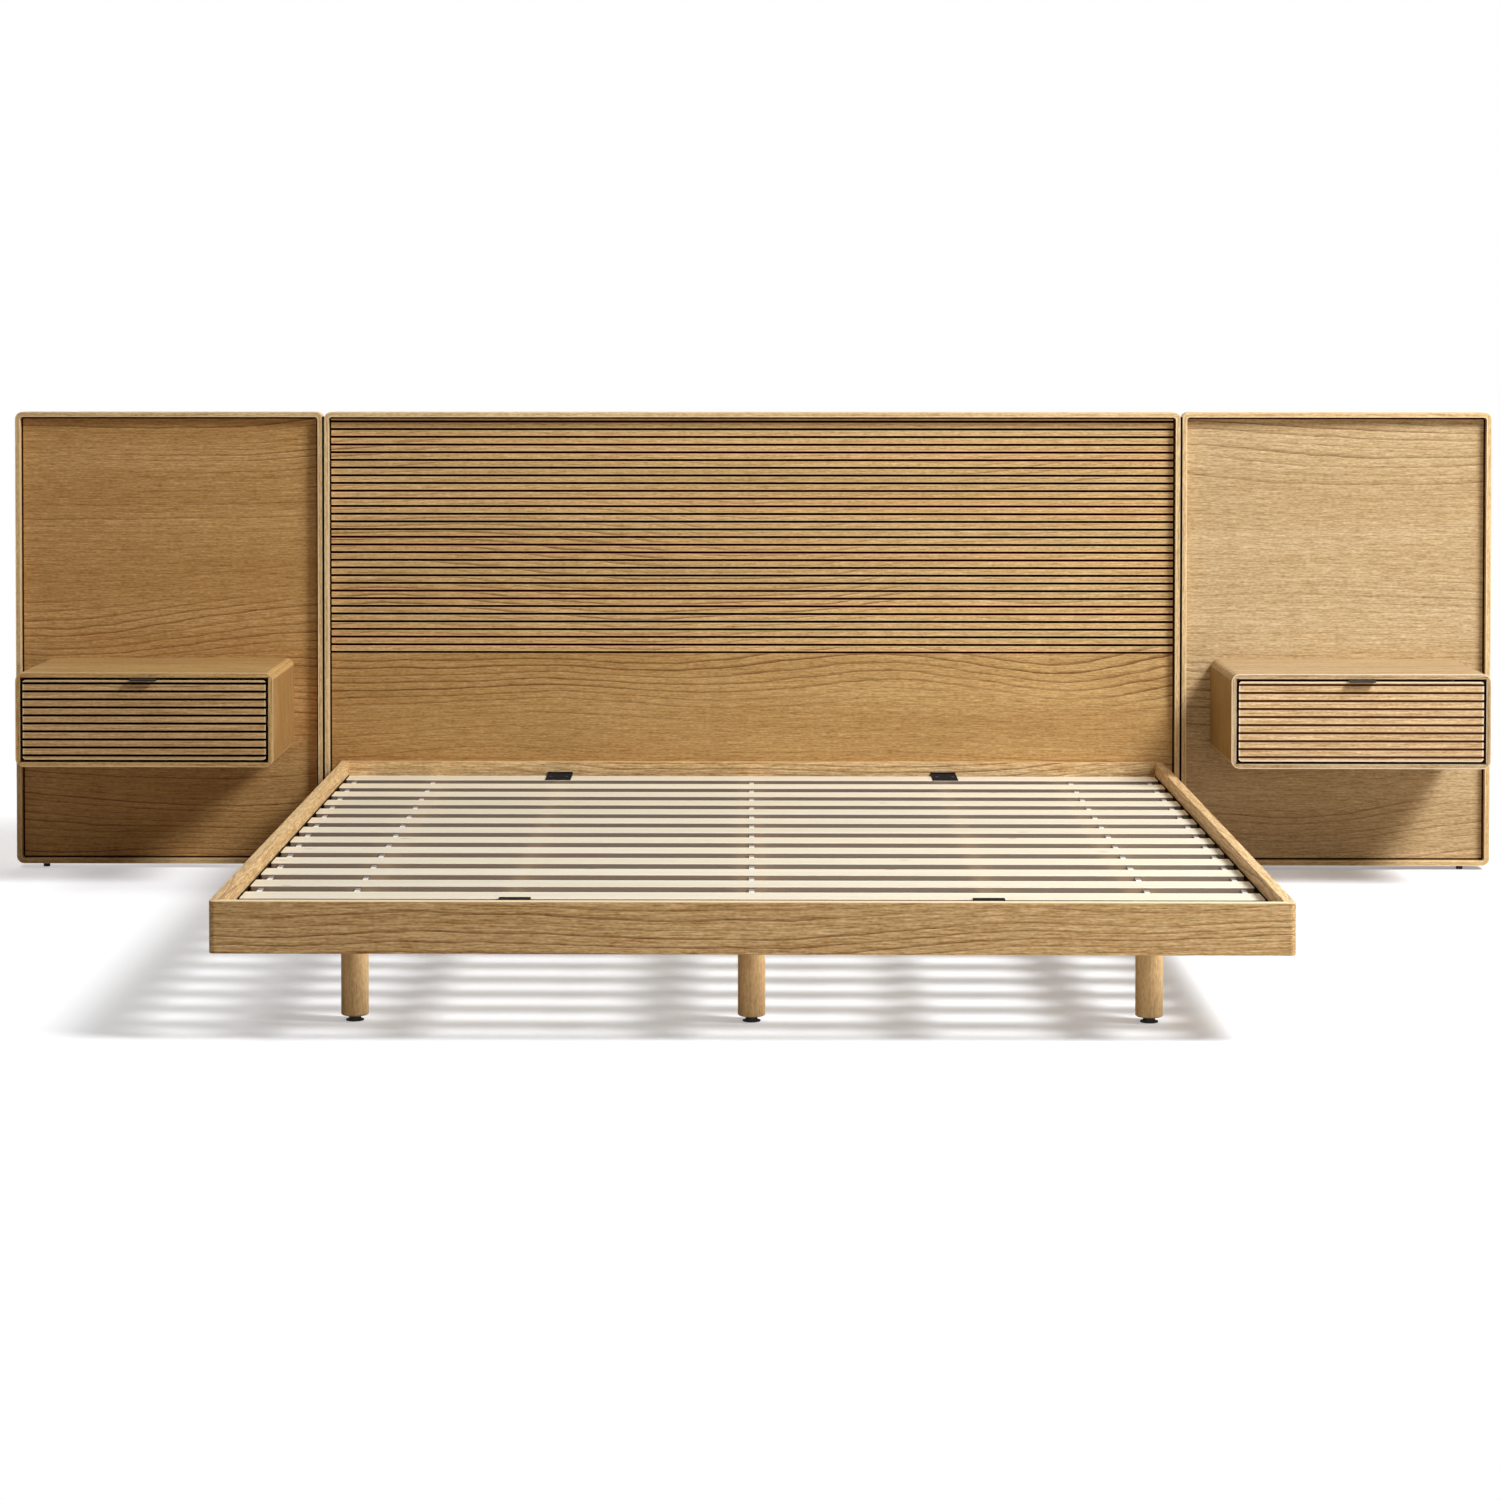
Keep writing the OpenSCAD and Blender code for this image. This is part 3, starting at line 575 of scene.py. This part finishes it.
def makeEdging(name, node, seams):  # its four sides meet in mitres, and the grain runs along each
    middle, half, _ = span(node)
    finish = Finish(bpy.data.materials.new(name))
    place = finish.place()
    x, y, z = place
    fromSide = half.x - abs(x - middle.x)
    fromEnd = half.z - abs(z - middle.z)
    standing = fromSide.below(fromEnd)
    lying = 1.0 - standing
    along = z * standing + x * lying
    across = x * standing + z * lying
    seed = middle.x * edgingOak["seedStep"]
    colour, roughness, height = woodGrain(finish, along, across, y, edgingOak, seed)
    # painted highlight along its edges
    share = edgingOak["paleShare"]
    lighten = paintedEdgeHighlight([node], frameShape["edgingRadius"], frameShape["edging"], edgingOak, share)
    colour = lighten(finish, place, colour)
    # painted shade on its faces in a seam between two panels
    for way in seams:
        share = ((x - middle.x) * way).rise(*(half.x - depth for depth in paintedShade["seamDepth"]))
        colour = finish.sink(share * paintedShade["seamShare"], colour, paintedShade["seam"])
    return finishWood(finish, (colour, roughness, height), edgingOak)


leg = dict(
    columnStep=0.75,
    rowStep=0.835,
    rowMiddle=-0.015,
    rows=3.0,
    seedStep=20.0,
)


def makeLegs():  # each leg is turned from a piece of its own
    finish = Finish(bpy.data.materials.new("legOak"))
    x, y, z = finish.place()
    column = (x / leg["columnStep"] + 0.5).floor()
    row = ((y - leg["rowMiddle"]) / leg["rowStep"] + 0.5).floor()
    chance = finish.lot(column * leg["rows"] + row)
    return finishWood(finish, woodGrain(finish, z + chance * leg["seedStep"], x, y, legOak), legOak)


leftEnd = dict(reach=(-1.2, 0.9), shade=(0.79, 0.72, 0.64))


def paintedLeftShade(finish, place, colour):  # painted shade: the centre board is darker towards its left end
    near = place[0].rise(*leftEnd["reach"])
    shades = finish.vector(*(near.between(share, 1.0) for share in leftEnd["shade"]))
    return finish.blend(1.0, colour, shades, "MULTIPLY")


seeds = dict(  # where each board's grain begins
    centre=3.1,
    panels=(11.3, 27.9),
    railStep=5.0,
    footRail=41.0,
    headRail=47.0,
    cases=(52.0, 67.0),
    drawerStep=3.0,
    battens=5.0,
    blocks=17.0,
    joists=(("left", 23.0), ("centre", 29.0), ("right", 34.0)),
    bars=49.0,
    ledgers=(37.0, 43.0),
    backing=3.0,
    plywood=(9.0, 14.0),
    boxStep=2.0,
    bottomStep=4.0,
)
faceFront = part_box("centre_grooved_board")[0].y
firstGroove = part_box("centre_edging")[1].z - frameShape["edging"] - groove["firstInFrame"]
centreBorder = paintedBorderShade("centre_grooved_board", "centre_plain_board")
grooves = paintedGrooveShade(faceFront, firstGroove, grooveOak)
paint(makeWood("oakGrooved", grooveOak, "x", seeds["centre"], grooves, centreBorder), "centre_grooved_board")
paint(makeWood("oakCentre", oak, "x", seeds["centre"], paintedLeftShade, centreBorder), "centre_plain_board")
paint(makeEdging("centreEdgingOak", "centre_edging", (-1, 1)), "centre_edging")
for side, seed, seams in zip(sides, seeds["panels"], ((1,), (-1,))):  # a seam lies towards the middle
    board = side + "_panel_board"
    border = paintedBorderShade(board, clear=-1 if side == "right" else 0)
    paint(makeWood(side + "PanelOak", sideOak[side], "x", seed, border), board)
    paint(makeEdging(side + "EdgingOak", side + "_edging", seams), side + "_edging")
    touches = (paintedRailShade, paintedTopHighlight(pale["sideRailShare"]))
    paint(makeWood(side + "RailOak", railOak, "y", seed + seeds["railStep"], *touches), side + "_side_rail")
touches = (paintedRailShade, paintedTopHighlight(pale["footRailShare"]))
paint(makeWood("footRailOak", railOak, "x", seeds["footRail"], *touches), "foot_rail")
paint(makeWood("headRailOak", railOak, "x", seeds["headRail"]), "head_rail")
paint(makeLegs(), "legs")
for side, seed in zip(sides, seeds["cases"]):
    wood = caseOak[side]
    walls = [side + part for part in ("_case_top", "_case_bottom", "_case_outer_side", "_case_inner_side")]
    inside = paintedInsideShade(walls)
    arris = paintedEdgeHighlight(walls, frameShape["caseRadius"], frameShape["caseWall"], wood, pale["caseShare"])
    top = shadeTop(walls, wood, shade["topReach"])
    paint(makeWood(side + "CaseOak", wood, "x", seed, top, arris, inside), *walls[:2])
    outer = shadeOuter(walls, wood)
    corner = shadeTop(walls, wood, shade["cornerReach"])
    paint(makeWood(side + "CaseSideOak", wood, "z", seed, outer, corner, arris, inside), *walls[2:])
    drawer = side + "_drawer_front"
    low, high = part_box(drawer)
    grooves = paintedGrooveShade(low.y, high.z - groove["firstInDrawer"], drawerOak[side])
    gap = paintedGapShade(drawer, frameShape["frontRadius"])
    around = (frameShape["frontRadius"], frameShape["front"])
    arris = paintedEdgeHighlight([drawer], *around, wood, pale["caseShare"], pale["drawerReach"])
    seed = seed + seeds["drawerStep"]
    paint(makeWood(side + "DrawerOak", drawerOak[side], "x", seed, grooves, arris, gap), drawer)
print("oak done")

slat = dict(
    pitch=145.0 * mm,
    count=14,
    width=80.0 * mm,
    foreEdge=30.0 * mm,  # counting begins this far before the first slat
    seedStep=30.0,
    otherSeed=31.0,
    shades=(0.94, 1.03),
    arris=srgb(255, 252, 240),  # painted highlight: its edges are palest
    arrisReach=(4.0 * mm, 9.0 * mm),
    arrisShare=0.9,
    # the veneer edges' colours, partly their own and partly painted shade
    shadedCore=srgb(186, 168, 146),
    coreDeep=srgb(148, 128, 108),
    coreShares=(0.7, 0.3),  # of the crosswise veneers and of the fibres
    coreFibre=(60.0, 900.0),
    glue=srgb(92, 72, 58),
    glueShare=0.7,
    layers=13,
    rearShade=0.4,  # painted shade: how much darker the edges are at the head than at the foot
)
knot = dict(
    colour=srgb(120, 84, 52),
    spread=(3.1, 11.0, 9.0),  # per metre along and across, and from slat to slat
    few=0.2,  # the share of cells that have one
    reach=(0.011, 0.0495),
    share=0.75,
)
veneer = dict(glueHalf=0.11, glueSoft=0.2, step=(0.4, 0.6))  # shares of one layer
slatWood = dict(
    light=srgb(247, 239, 216),
    deep=srgb(237, 226, 196),
    ring=srgb(206, 182, 142),
    pore=srgb(196, 170, 130),
    flow=(0.5, 3.2),
    wander=12.0,
    rings=70.0,
    ripple=0.6,
    lineWidth=0.6,
    lineShare=0.25,
    bands=(0.8, 9.0),
    toneShare=0.7,
    streakShare=0.16,
    fibreShare=0.16,
    speckShare=0.12,
    poreShare=0.2,
    poreSize=(16.0, 480.0),
    rough=(0.42, 0.58),
    bump=(0.3, 0.0004),
    coat=0.3,
    shine=0.5,
)


def layersOf(depth, thickness, count):  # glued veneers: their number, which lie crosswise, the glue lines
    level = depth * (count / thickness)
    layer = level.floor().most(0.0).least(count - 1.0)
    crosswise = (layer * 0.5).fract() * 2.0
    part = level.fract()
    glued = part.least(1.0 - part).below(veneer["glueHalf"])
    glued = glued * (level - 0.5).rise(0.0, veneer["glueSoft"])
    glued = glued * (count - 0.5 - level).rise(0.0, veneer["glueSoft"])
    return layer, crosswise, glued


def makeSlats():
    low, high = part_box("slats")
    finish = Finish(bpy.data.materials.new("paleSlatWood"))
    x, y, z = finish.place()
    number = ((y - low.y + slat["foreEdge"]) / slat["pitch"]).floor()
    chance = finish.lot(number)
    own = finish.lot(number + slat["otherSeed"])
    colour, roughness, height = woodGrain(finish, x + chance * slat["seedStep"], y, z, slatWood)
    colour = finish.shaded(colour, own.between(*slat["shades"]))
    # painted highlight along the slats' edges
    inSlat = y - low.y - number * slat["pitch"]
    fromEdge = inSlat.least(slat["width"] - inSlat)
    arris = 1.0 - fromEdge.rise(*slat["arrisReach"])
    colour = finish.blend(arris * slat["arrisShare"], colour, slat["arris"])
    # a few small knots
    spreadAlong, spreadAcross, spreadOn = knot["spread"]
    spot = finish.vector(x * spreadAlong + chance * spreadOn, y * spreadAcross, 0.0)
    settings = {"voronoi_dimensions": "2D", "feature": "F1"}
    away = finish.node("ShaderNodeTexVoronoi", settings, {"Vector": spot, "Scale": 1.0})
    cell = finish.node("ShaderNodeTexVoronoi", settings, {"Vector": spot, "Scale": 1.0}, 1)
    chosen = finish.node("ShaderNodeSeparateColor", {}, {"Color": cell}).below(knot["few"])
    near = (1.0 - away.rise(*knot["reach"])) * chosen
    colour = finish.blend(near * knot["share"], colour, knot["colour"])
    # the edges show the veneers between the two faces, in colours partly their own and partly painted shade,
    # darker at the head
    layer, crosswise, glued = layersOf(z - low.z, high.z - low.z, slat["layers"])
    inner = layer.rise(*veneer["step"]) * (slat["layers"] - 1.0 - layer).rise(*veneer["step"])
    fibreAlong, fibreDeep = slat["coreFibre"]
    fibre = finish.noise(x * fibreAlong, y * fibreAlong, z * fibreDeep, 2.0)
    crossShare, fibreShare = slat["coreShares"]
    shadedCore = finish.blend(crosswise * crossShare + fibre * fibreShare, slat["shadedCore"], slat["coreDeep"])
    shadedCore = finish.blend(glued * slat["glueShare"], shadedCore, slat["glue"])
    shadedCore = finish.shaded(shadedCore, 1.0 - y.rise(low.y, high.y) * slat["rearShade"])
    colour = finish.blend(inner, colour, shadedCore)
    return finishWood(finish, (colour, roughness, height), slatWood)


paint(makeSlats(), "slats")
print("slats done")

pine = dict(
    light=srgb(231, 205, 164),
    deep=srgb(219, 186, 138),
    ring=srgb(189, 140, 86),
    pore=srgb(178, 134, 88),
    flow=(0.35, 3.0),
    wander=14.0,
    rings=90.0,
    ripple=0.4,
    lineWidth=0.5,
    lineShare=0.6,
    bands=(0.5, 4.0),
    toneShare=0.6,
    streakShare=0.2,
    fibreShare=0.2,
    speckShare=0.12,
    poreShare=0.2,
    poreSize=(20.0, 420.0),
    rough=(0.5, 0.64),
    bump=(0.3, 0.0004),
    coat=0.0,
    shine=0.3,
)
# painted shade: the ledgers, which lie in shade under the slats, get a dark pine colour
shadedPine = dict(
    pine,
    light=srgb(112, 76, 46),
    deep=srgb(92, 60, 36),
    ring=srgb(64, 40, 24),
    pore=srgb(58, 36, 22),
)
paint(makeWood("pineLying", pine, "x", seeds["battens"]), "headboard_battens")
paint(makeWood("pineBlocks", pine, "z", seeds["blocks"]), "corner_blocks")
for place, seed in seeds["joists"]:
    paint(makeWood(place + "JoistPine", pine, "y", seed), place + "_joist")
paint(makeWood("barPine", pine, "y", seeds["bars"]), "support_bars")
for side, seed in zip(sides, seeds["ledgers"]):
    paint(makeWood(side + "LedgerPine", shadedPine, "y", seed), side + "_slat_ledger")

birch = dict(
    pine,
    light=srgb(226, 203, 166),
    deep=srgb(212, 184, 142),
    ring=srgb(192, 158, 114),
    pore=srgb(186, 152, 108),
    rings=30.0,
    wander=20.0,
    lineShare=0.3,
    coat=0.15,
    layers=9,
    cross=srgb(184, 150, 108),
    crossShare=0.8,
    glue=srgb(92, 66, 42),
    glueShare=0.7,
    drawerBoard=12.0 * mm,
)


def makePly(name, depthOf, thickness, seed):
    finish = Finish(bpy.data.materials.new(name))
    place = finish.place()
    x, y, z = place
    colour, roughness, height = woodGrain(finish, x, z, y, birch, seed)
    _, crosswise, glued = layersOf(depthOf(place), thickness, birch["layers"])
    colour = finish.blend(crosswise * birch["crossShare"], colour, birch["cross"])
    colour = finish.blend(glued * birch["glueShare"], colour, birch["glue"])
    return finishWood(finish, (colour, roughness, height), birch)


def throughY(node):
    low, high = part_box(node)
    return lambda place: place[1] - low.y, high.y - low.y


def throughZ(node):
    low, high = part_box(node)
    return lambda place: place[2] - low.z, high.z - low.z


def throughBox(node):  # the depth below a drawer board's outer face
    low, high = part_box(node)
    middle = (low + high) / 2
    half = (high - low) / 2

    def depthOf(place):
        fromSide = half.x - abs(place[0] - middle.x)
        fromEnd = half.y - abs(place[1] - middle.y)
        return fromSide.least(fromEnd)
    return depthOf, birch["drawerBoard"]


paint(makePly("backingPly", *throughY("centre_backing_board"), seeds["backing"]), "centre_backing_board")
for side, seed in zip(sides, seeds["plywood"]):
    back, box, bottom = (side + part for part in ("_case_back", "_drawer_box", "_drawer_bottom"))
    paint(makePly(side + "CaseBackPly", *throughY(back), seed), back)
    paint(makePly(side + "DrawerBoxPly", *throughBox(box), seed + seeds["boxStep"]), box)
    paint(makePly(side + "DrawerBottomPly", *throughZ(bottom), seed + seeds["bottomStep"]), bottom)
print("pine and plywood done")

zinc = dict(
    light=(0.66, 0.67, 0.69),
    deep=(0.52, 0.53, 0.55),
    tones=(0.3, 0.7),
    rough=(0.28, 0.42),
    patch=9.0,  # per metre
    patchRough=0.08,
    metallic=1.0,
    coat=0.0,
    coatRough=0.25,
    shine=0.5,
    size=(420.0, 420.0, 420.0),
    bump=(0.15, 0.0002),
)
blackSteel = dict(
    zinc,
    light=(0.018, 0.018, 0.019),
    deep=(0.010, 0.010, 0.011),
    rough=(0.78, 0.92),
    metallic=0.0,
    shine=0.04,
    size=(1400.0, 1400.0, 1400.0),
    bump=(0.35, 0.0002),
)
blackScrew = dict(
    zinc,
    light=(0.075, 0.078, 0.085),
    deep=(0.045, 0.047, 0.052),
    rough=(0.24, 0.38),
    metallic=0.9,
    size=(900.0, 900.0, 900.0),
    bump=(0.12, 0.0001),
)
bronze = dict(
    zinc,
    light=(0.085, 0.068, 0.055),
    deep=(0.045, 0.036, 0.030),
    rough=(0.26, 0.40),
    metallic=0.85,
    coat=0.1,
    size=(27.0, 900.0, 900.0),  # brushed along its lip
    bump=(0.12, 0.0001),
)
blackPlastic = dict(
    zinc,
    light=(0.030, 0.030, 0.031),
    deep=(0.020, 0.020, 0.021),
    rough=(0.48, 0.62),
    metallic=0.0,
    size=(2200.0, 2200.0, 2200.0),
    bump=(0.25, 0.0001),
)


def makeMetal(name, metal):  # or plastic
    finish = Finish(bpy.data.materials.new(name))
    place = finish.place()
    patch = finish.noise(*(axis * metal["patch"] for axis in place), 3.0)
    grain = finish.noise(*(axis * size for axis, size in zip(place, metal["size"])), *field["fine"])
    tone = (patch * 0.5 + grain * 0.5).rise(*metal["tones"])
    colour = finish.blend(tone, metal["light"], metal["deep"])
    roughness = grain.between(*metal["rough"]) + patch * metal["patchRough"]
    constants = {
        "Metallic": metal["metallic"],
        "Coat Weight": metal["coat"],
        "Coat Roughness": metal["coatRough"],
        "Specular IOR Level": metal["shine"],
    }
    return finish.surface(colour, roughness, grain, metal["bump"], constants)


zincPlate = makeMetal("zincPlate", zinc)
paint(zincPlate, "joining_plates", "joining_screws", "joist_hangers")
paint(zincPlate, "corner_bolts", "headboard_bolts", "leg_studs")
for side in sides:
    paint(zincPlate, *(side + "_" + name for name in ("case_bolts", "drawer_screws")))
    paint(zincPlate, *(side + "_runner_" + name for name in ("outers", "middles", "inners")))
    paint(makeMetal(side + "Bronze", bronze), side + "_drawer_pull")
paint(makeMetal("blackSteel", blackSteel), "slat_brackets")
paint(makeMetal("blackScrew", blackScrew), "slat_bracket_screws")
paint(makeMetal("blackPlastic", blackPlastic), "headboard_feet", "leg_glides")
print("metal and plastic done")

strap = dict(
    places=(-948.0 * mm, -760.0 * mm, 0.0, 760.0 * mm, 948.0 * mm),
    width=10.6 * mm,
    thickness=0.7 * mm,
    level=225.0 * mm,
    sag=1.0 * mm,
    firstBack=978.0 * mm,
    dips=((0.2, 0.6), (0.5, 1.0), (0.8, 0.6)),  # how far across a gap, and the share of the sag
    ends=(1009.0 * mm, -1018.0 * mm),
    start=8.0 * mm,  # the length that the rest is drawn out of
    bevel=0.25 * mm,
    thread=1.1 * mm,
    light=srgb(252, 250, 244),
    deep=srgb(228, 222, 208),
    weaveShares=(0.7, 0.3),  # of the threads and of the fuzz
    dull=srgb(150, 135, 120),
    glintReach=(11.0 * mm, 15.0 * mm),  # painted glint: it keeps its pale colour this far from the middle of each gap, and takes painted shade beyond
    fuzz=2600.0,  # per metre
    rough=(0.84, 0.94),
    bump=(0.6, 0.0004),
    sheen=0.25,
    sheenRough=0.5,
)


def startEdit(piece):
    bpy.ops.object.select_all(action="DESELECT")
    piece.select_set(True)
    bpy.context.view_layer.objects.active = piece
    bpy.ops.object.mode_set(mode="EDIT")
    bpy.ops.mesh.select_mode(type="VERT")
    bpy.ops.mesh.select_all(action="DESELECT")


def pick(piece, chosen):  # selects the vertices that a rule names
    bpy.ops.object.mode_set(mode="OBJECT")
    for vertex in piece.data.vertices:
        vertex.select = chosen(vertex.co)
    bpy.ops.object.mode_set(mode="EDIT")


def settle(piece):  # leaves the piece's place in its mesh
    bpy.ops.object.mode_set(mode="OBJECT")
    bpy.ops.object.select_all(action="DESELECT")
    piece.select_set(True)
    bpy.context.view_layer.objects.active = piece
    bpy.ops.object.transform_apply(location=True, rotation=True, scale=True)


def applyModifier(piece, kind, **settings):
    modifier = piece.modifiers.new(kind, kind)
    for name, value in settings.items():
        setattr(modifier, name, value)
    bpy.context.view_layer.objects.active = piece
    bpy.ops.object.modifier_apply(modifier=modifier.name)


def copyTo(piece, name, move):
    twin = piece.copy()
    twin.data = piece.data.copy()
    twin.name = name
    bpy.context.scene.collection.objects.link(twin)
    twin.data.transform(Matrix.Translation(move))
    return twin


def makeStrapCloth():
    finish = Finish(bpy.data.materials.new("cottonTape"))
    x, y, z = finish.place()
    turns = math.pi / strap["thread"]
    warp = abs((x * turns).sine())
    weft = abs((y * turns).sine())
    over = ((x / strap["thread"]).floor() * 0.5 + (y / strap["thread"]).floor() * 0.5).fract() * 2.0
    weave = warp * over + weft * (1.0 - over)
    fuzz = finish.noise(x * strap["fuzz"], y * strap["fuzz"], z * strap["fuzz"], 2.0)
    weaveShare, fuzzShare = strap["weaveShares"]
    colour = finish.blend(weave * weaveShare + fuzz * fuzzShare, strap["deep"], strap["light"])
    # painted shade on the tape near the slats, leaving a painted glint in the middle of each gap
    gapMiddle = (slat["width"] + slat["pitch"]) / 2
    away = abs(((strap["firstBack"] - y) / slat["pitch"]).fract() * slat["pitch"] - gapMiddle)
    colour = finish.blend(away.rise(*strap["glintReach"]), colour, strap["dull"])
    constants = {"Sheen Weight": strap["sheen"], "Sheen Roughness": strap["sheenRough"]}
    return finish.surface(colour, fuzz.between(*strap["rough"]), weave, strap["bump"], constants)


def makeStraps():
    # one strap is drawn out from the headboard to the foot, down and up again between two slats
    bpy.ops.object.select_all(action="DESELECT")
    headEnd, footEnd = strap["ends"]
    bpy.ops.mesh.primitive_plane_add(size=1.0, location=(0.0, headEnd - strap["start"] / 2, strap["level"]))
    piece = bpy.context.object
    piece.scale = (strap["width"], strap["start"], 1.0)
    settle(piece)
    line = []
    for i in range(slat["count"]):
        back = strap["firstBack"] - i * slat["pitch"]
        front = back - slat["width"]
        gap = slat["pitch"] - slat["width"]
        line += [(back, 0.0), (front, 0.0)]
        if i < slat["count"] - 1:
            for share, drop in strap["dips"]:
                line.append((front - gap * share, -strap["sag"] * drop))
    line.append((footEnd, 0.0))
    startEdit(piece)
    lastY, lastDrop = headEnd - strap["start"], 0.0
    pick(piece, lambda co: co.y < headEnd - strap["start"] / 2)
    for y, drop in line:
        bpy.ops.mesh.extrude_edges_move(TRANSFORM_OT_translate={"value": (0.0, y - lastY, drop - lastDrop)})
        lastY, lastDrop = y, drop
    settle(piece)
    applyModifier(piece, "SUBSURF", subdivision_type="SIMPLE", levels=1, render_levels=1)
    applyModifier(piece, "SOLIDIFY", thickness=strap["thickness"], offset=0.0)
    applyModifier(piece, "BEVEL", width=strap["bevel"], segments=2, limit_method="ANGLE")
    piece.data.materials.append(makeStrapCloth())
    piece.name = "slatStrap1"
    straps = [piece]
    for i, x in enumerate(strap["places"][1:]):
        straps.append(copyTo(piece, "slatStrap" + str(i + 2), (x, 0.0, 0.0)))
    piece.data.transform(Matrix.Translation((strap["places"][0], 0.0, 0.0)))
    for each in straps:
        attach(each, "bed_frame")
    for each in straps:
        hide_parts("slat_tapes")


makeStraps()
print("straps done")

soft = dict(
    rails=1.0 * mm,
    edgings=0.8 * mm,
    slats=0.8 * mm,
    cases=0.7 * mm,
    parts=2,
    weld=0.01 * mm,
    flat=math.radians(1.0),
    sharp=math.radians(40),
)


def soften(name, width):  # takes the sharpness off a CAD node's edges
    piece = nodes[name]
    weld = piece.modifiers.new("weld", "WELD")
    weld.merge_threshold = soft["weld"]
    flatten = piece.modifiers.new("flatten", "DECIMATE")
    flatten.decimate_type = "DISSOLVE"
    flatten.angle_limit = soft["flat"]
    bevel = piece.modifiers.new("bevel", "BEVEL")
    bevel.width = width
    bevel.segments = soft["parts"]
    bevel.limit_method = "ANGLE"
    bevel.angle_limit = soft["sharp"]
    bevel.harden_normals = False
    normals = piece.modifiers.new("normals", "WEIGHTED_NORMAL")
    normals.keep_sharp = False


for name in ("centre_edging", "left_edging", "right_edging"):
    soften(name, soft["edgings"])
for name in ("left_side_rail", "right_side_rail", "foot_rail", "head_rail"):
    soften(name, soft["rails"])
for side in sides:
    for part in ("case_top", "case_bottom", "case_outer_side", "case_inner_side", "drawer_front"):
        soften(side + "_" + part, soft["cases"])
soften("slats", soft["slats"])
print("edges softened")

studio = dict(
    lamps=dict(
        key=dict(
            place=(4.45, -2.0, 5.05),
            aim=(1.6, 0.9, 0.3),
            size=(1.9, 2.0),
            power=590.0,
            colour=(0.98, 1.0, 1.04),
        ),
        front=dict(
            place=(1.8, -4.7, 1.0),
            aim=(0.0, 0.0, 0.3),
            size=(3.0, 1.2),
            power=36.0,
            colour=(1.0, 0.94, 0.86),
        ),
        top=dict(
            place=(-3.5, 0.9, 6.0),
            aim=(-0.9, 0.3, 0.3),
            size=(2.4, 2.4),
            power=80.0,
            colour=(1.0, 0.99, 0.96),
        ),
        back=dict(
            place=(-0.8, 5.2, 0.95),
            aim=(0.0, 1.1, 0.5),
            size=(4.0, 1.1),
            power=120.0,
            colour=(1.0, 0.97, 0.93),
        ),
    ),
    fill=0.06,
    fillColour=(1.0, 0.88, 0.74),
    floorColour=(0.86, 0.86, 0.86),
    bounceColour=(0.46, 0.39, 0.31),  # what the floor throws back at the bed
    glowColour=(0.98, 1.0, 1.03),
    floorGlow=0.31,  # seen by the camera alone, so the floor is white where no shadow lies
    glowSlope=0.19,  # painted light: per metre, more at the left
    glowReach=2.0,
    floorSize=60.0,
    fadeFrom=2.4,
    fadeTo=3.6,
)


def addFloor():
    bpy.ops.mesh.primitive_plane_add(size=studio["floorSize"])
    floor = bpy.context.object
    floor.name = "floor"
    finish = Finish(bpy.data.materials.new("floorWhite"))
    x, y, _ = finish.place()
    far = ((x * x + y * y) ** 0.5).rise(studio["fadeFrom"], studio["fadeTo"])
    seen = finish.node("ShaderNodeLightPath", {}, {}, "Is Camera Ray")
    matt = finish.node("ShaderNodeBsdfDiffuse", {}, {"Color": studio["floorColour"]})
    bounce = finish.node("ShaderNodeBsdfDiffuse", {}, {"Color": studio["bounceColour"]})
    across = x.most(-studio["glowReach"]).least(studio["glowReach"])
    tint = finish.shaded(studio["glowColour"], 1.0 - across * studio["glowSlope"])
    glow = finish.node("ShaderNodeEmission", {}, {"Color": tint, "Strength": studio["floorGlow"]})
    lit = finish.node("ShaderNodeAddShader", {}, {0: matt, 1: glow})
    white = finish.node("ShaderNodeEmission", {}, {"Color": (1.0, 1.0, 1.0), "Strength": 1.0})
    shown = finish.node("ShaderNodeMixShader", {}, {0: far, 1: lit, 2: white})
    mixed = finish.node("ShaderNodeMixShader", {}, {0: seen, 1: bounce, 2: shown})
    finish.node("ShaderNodeOutputMaterial", {}, {"Surface": mixed})
    floor.data.materials.append(finish.owner)


def addLamps():
    for name, lamp in studio["lamps"].items():
        data = bpy.data.lights.new(name, "AREA")
        data.shape = "RECTANGLE"
        data.size, data.size_y = lamp["size"]
        data.energy = lamp["power"]
        data.color = lamp["colour"]
        lampObject = bpy.data.objects.new(name, data)
        bpy.context.scene.collection.objects.link(lampObject)
        lampObject.location = lamp["place"]
        away = Vector(lamp["place"]) - Vector(lamp["aim"])
        lampObject.rotation_euler = away.to_track_quat("Z", "Y").to_euler()


def addWorld():
    world = bpy.data.worlds.new("studio")
    bpy.context.scene.world = world
    finish = Finish(world)
    seen = finish.node("ShaderNodeLightPath", {}, {}, "Is Camera Ray")
    glossy = finish.node("ShaderNodeLightPath", {}, {}, "Is Glossy Ray")
    through = finish.node("ShaderNodeLightPath", {}, {}, "Is Transmission Ray")
    shown = seen.most(glossy).most(through)
    dim = {"Color": studio["fillColour"], "Strength": studio["fill"]}
    sky = finish.node("ShaderNodeBackground", {}, dim)
    white = finish.node("ShaderNodeBackground", {}, {"Color": (1.0, 1.0, 1.0), "Strength": 1.0})
    mixed = finish.node("ShaderNodeMixShader", {}, {0: shown, 1: sky, 2: white})
    finish.node("ShaderNodeOutputWorld", {}, {"Surface": mixed})


addFloor()
addLamps()
addWorld()
bpy.context.scene.view_settings.view_transform = "Standard"
print("studio lit")
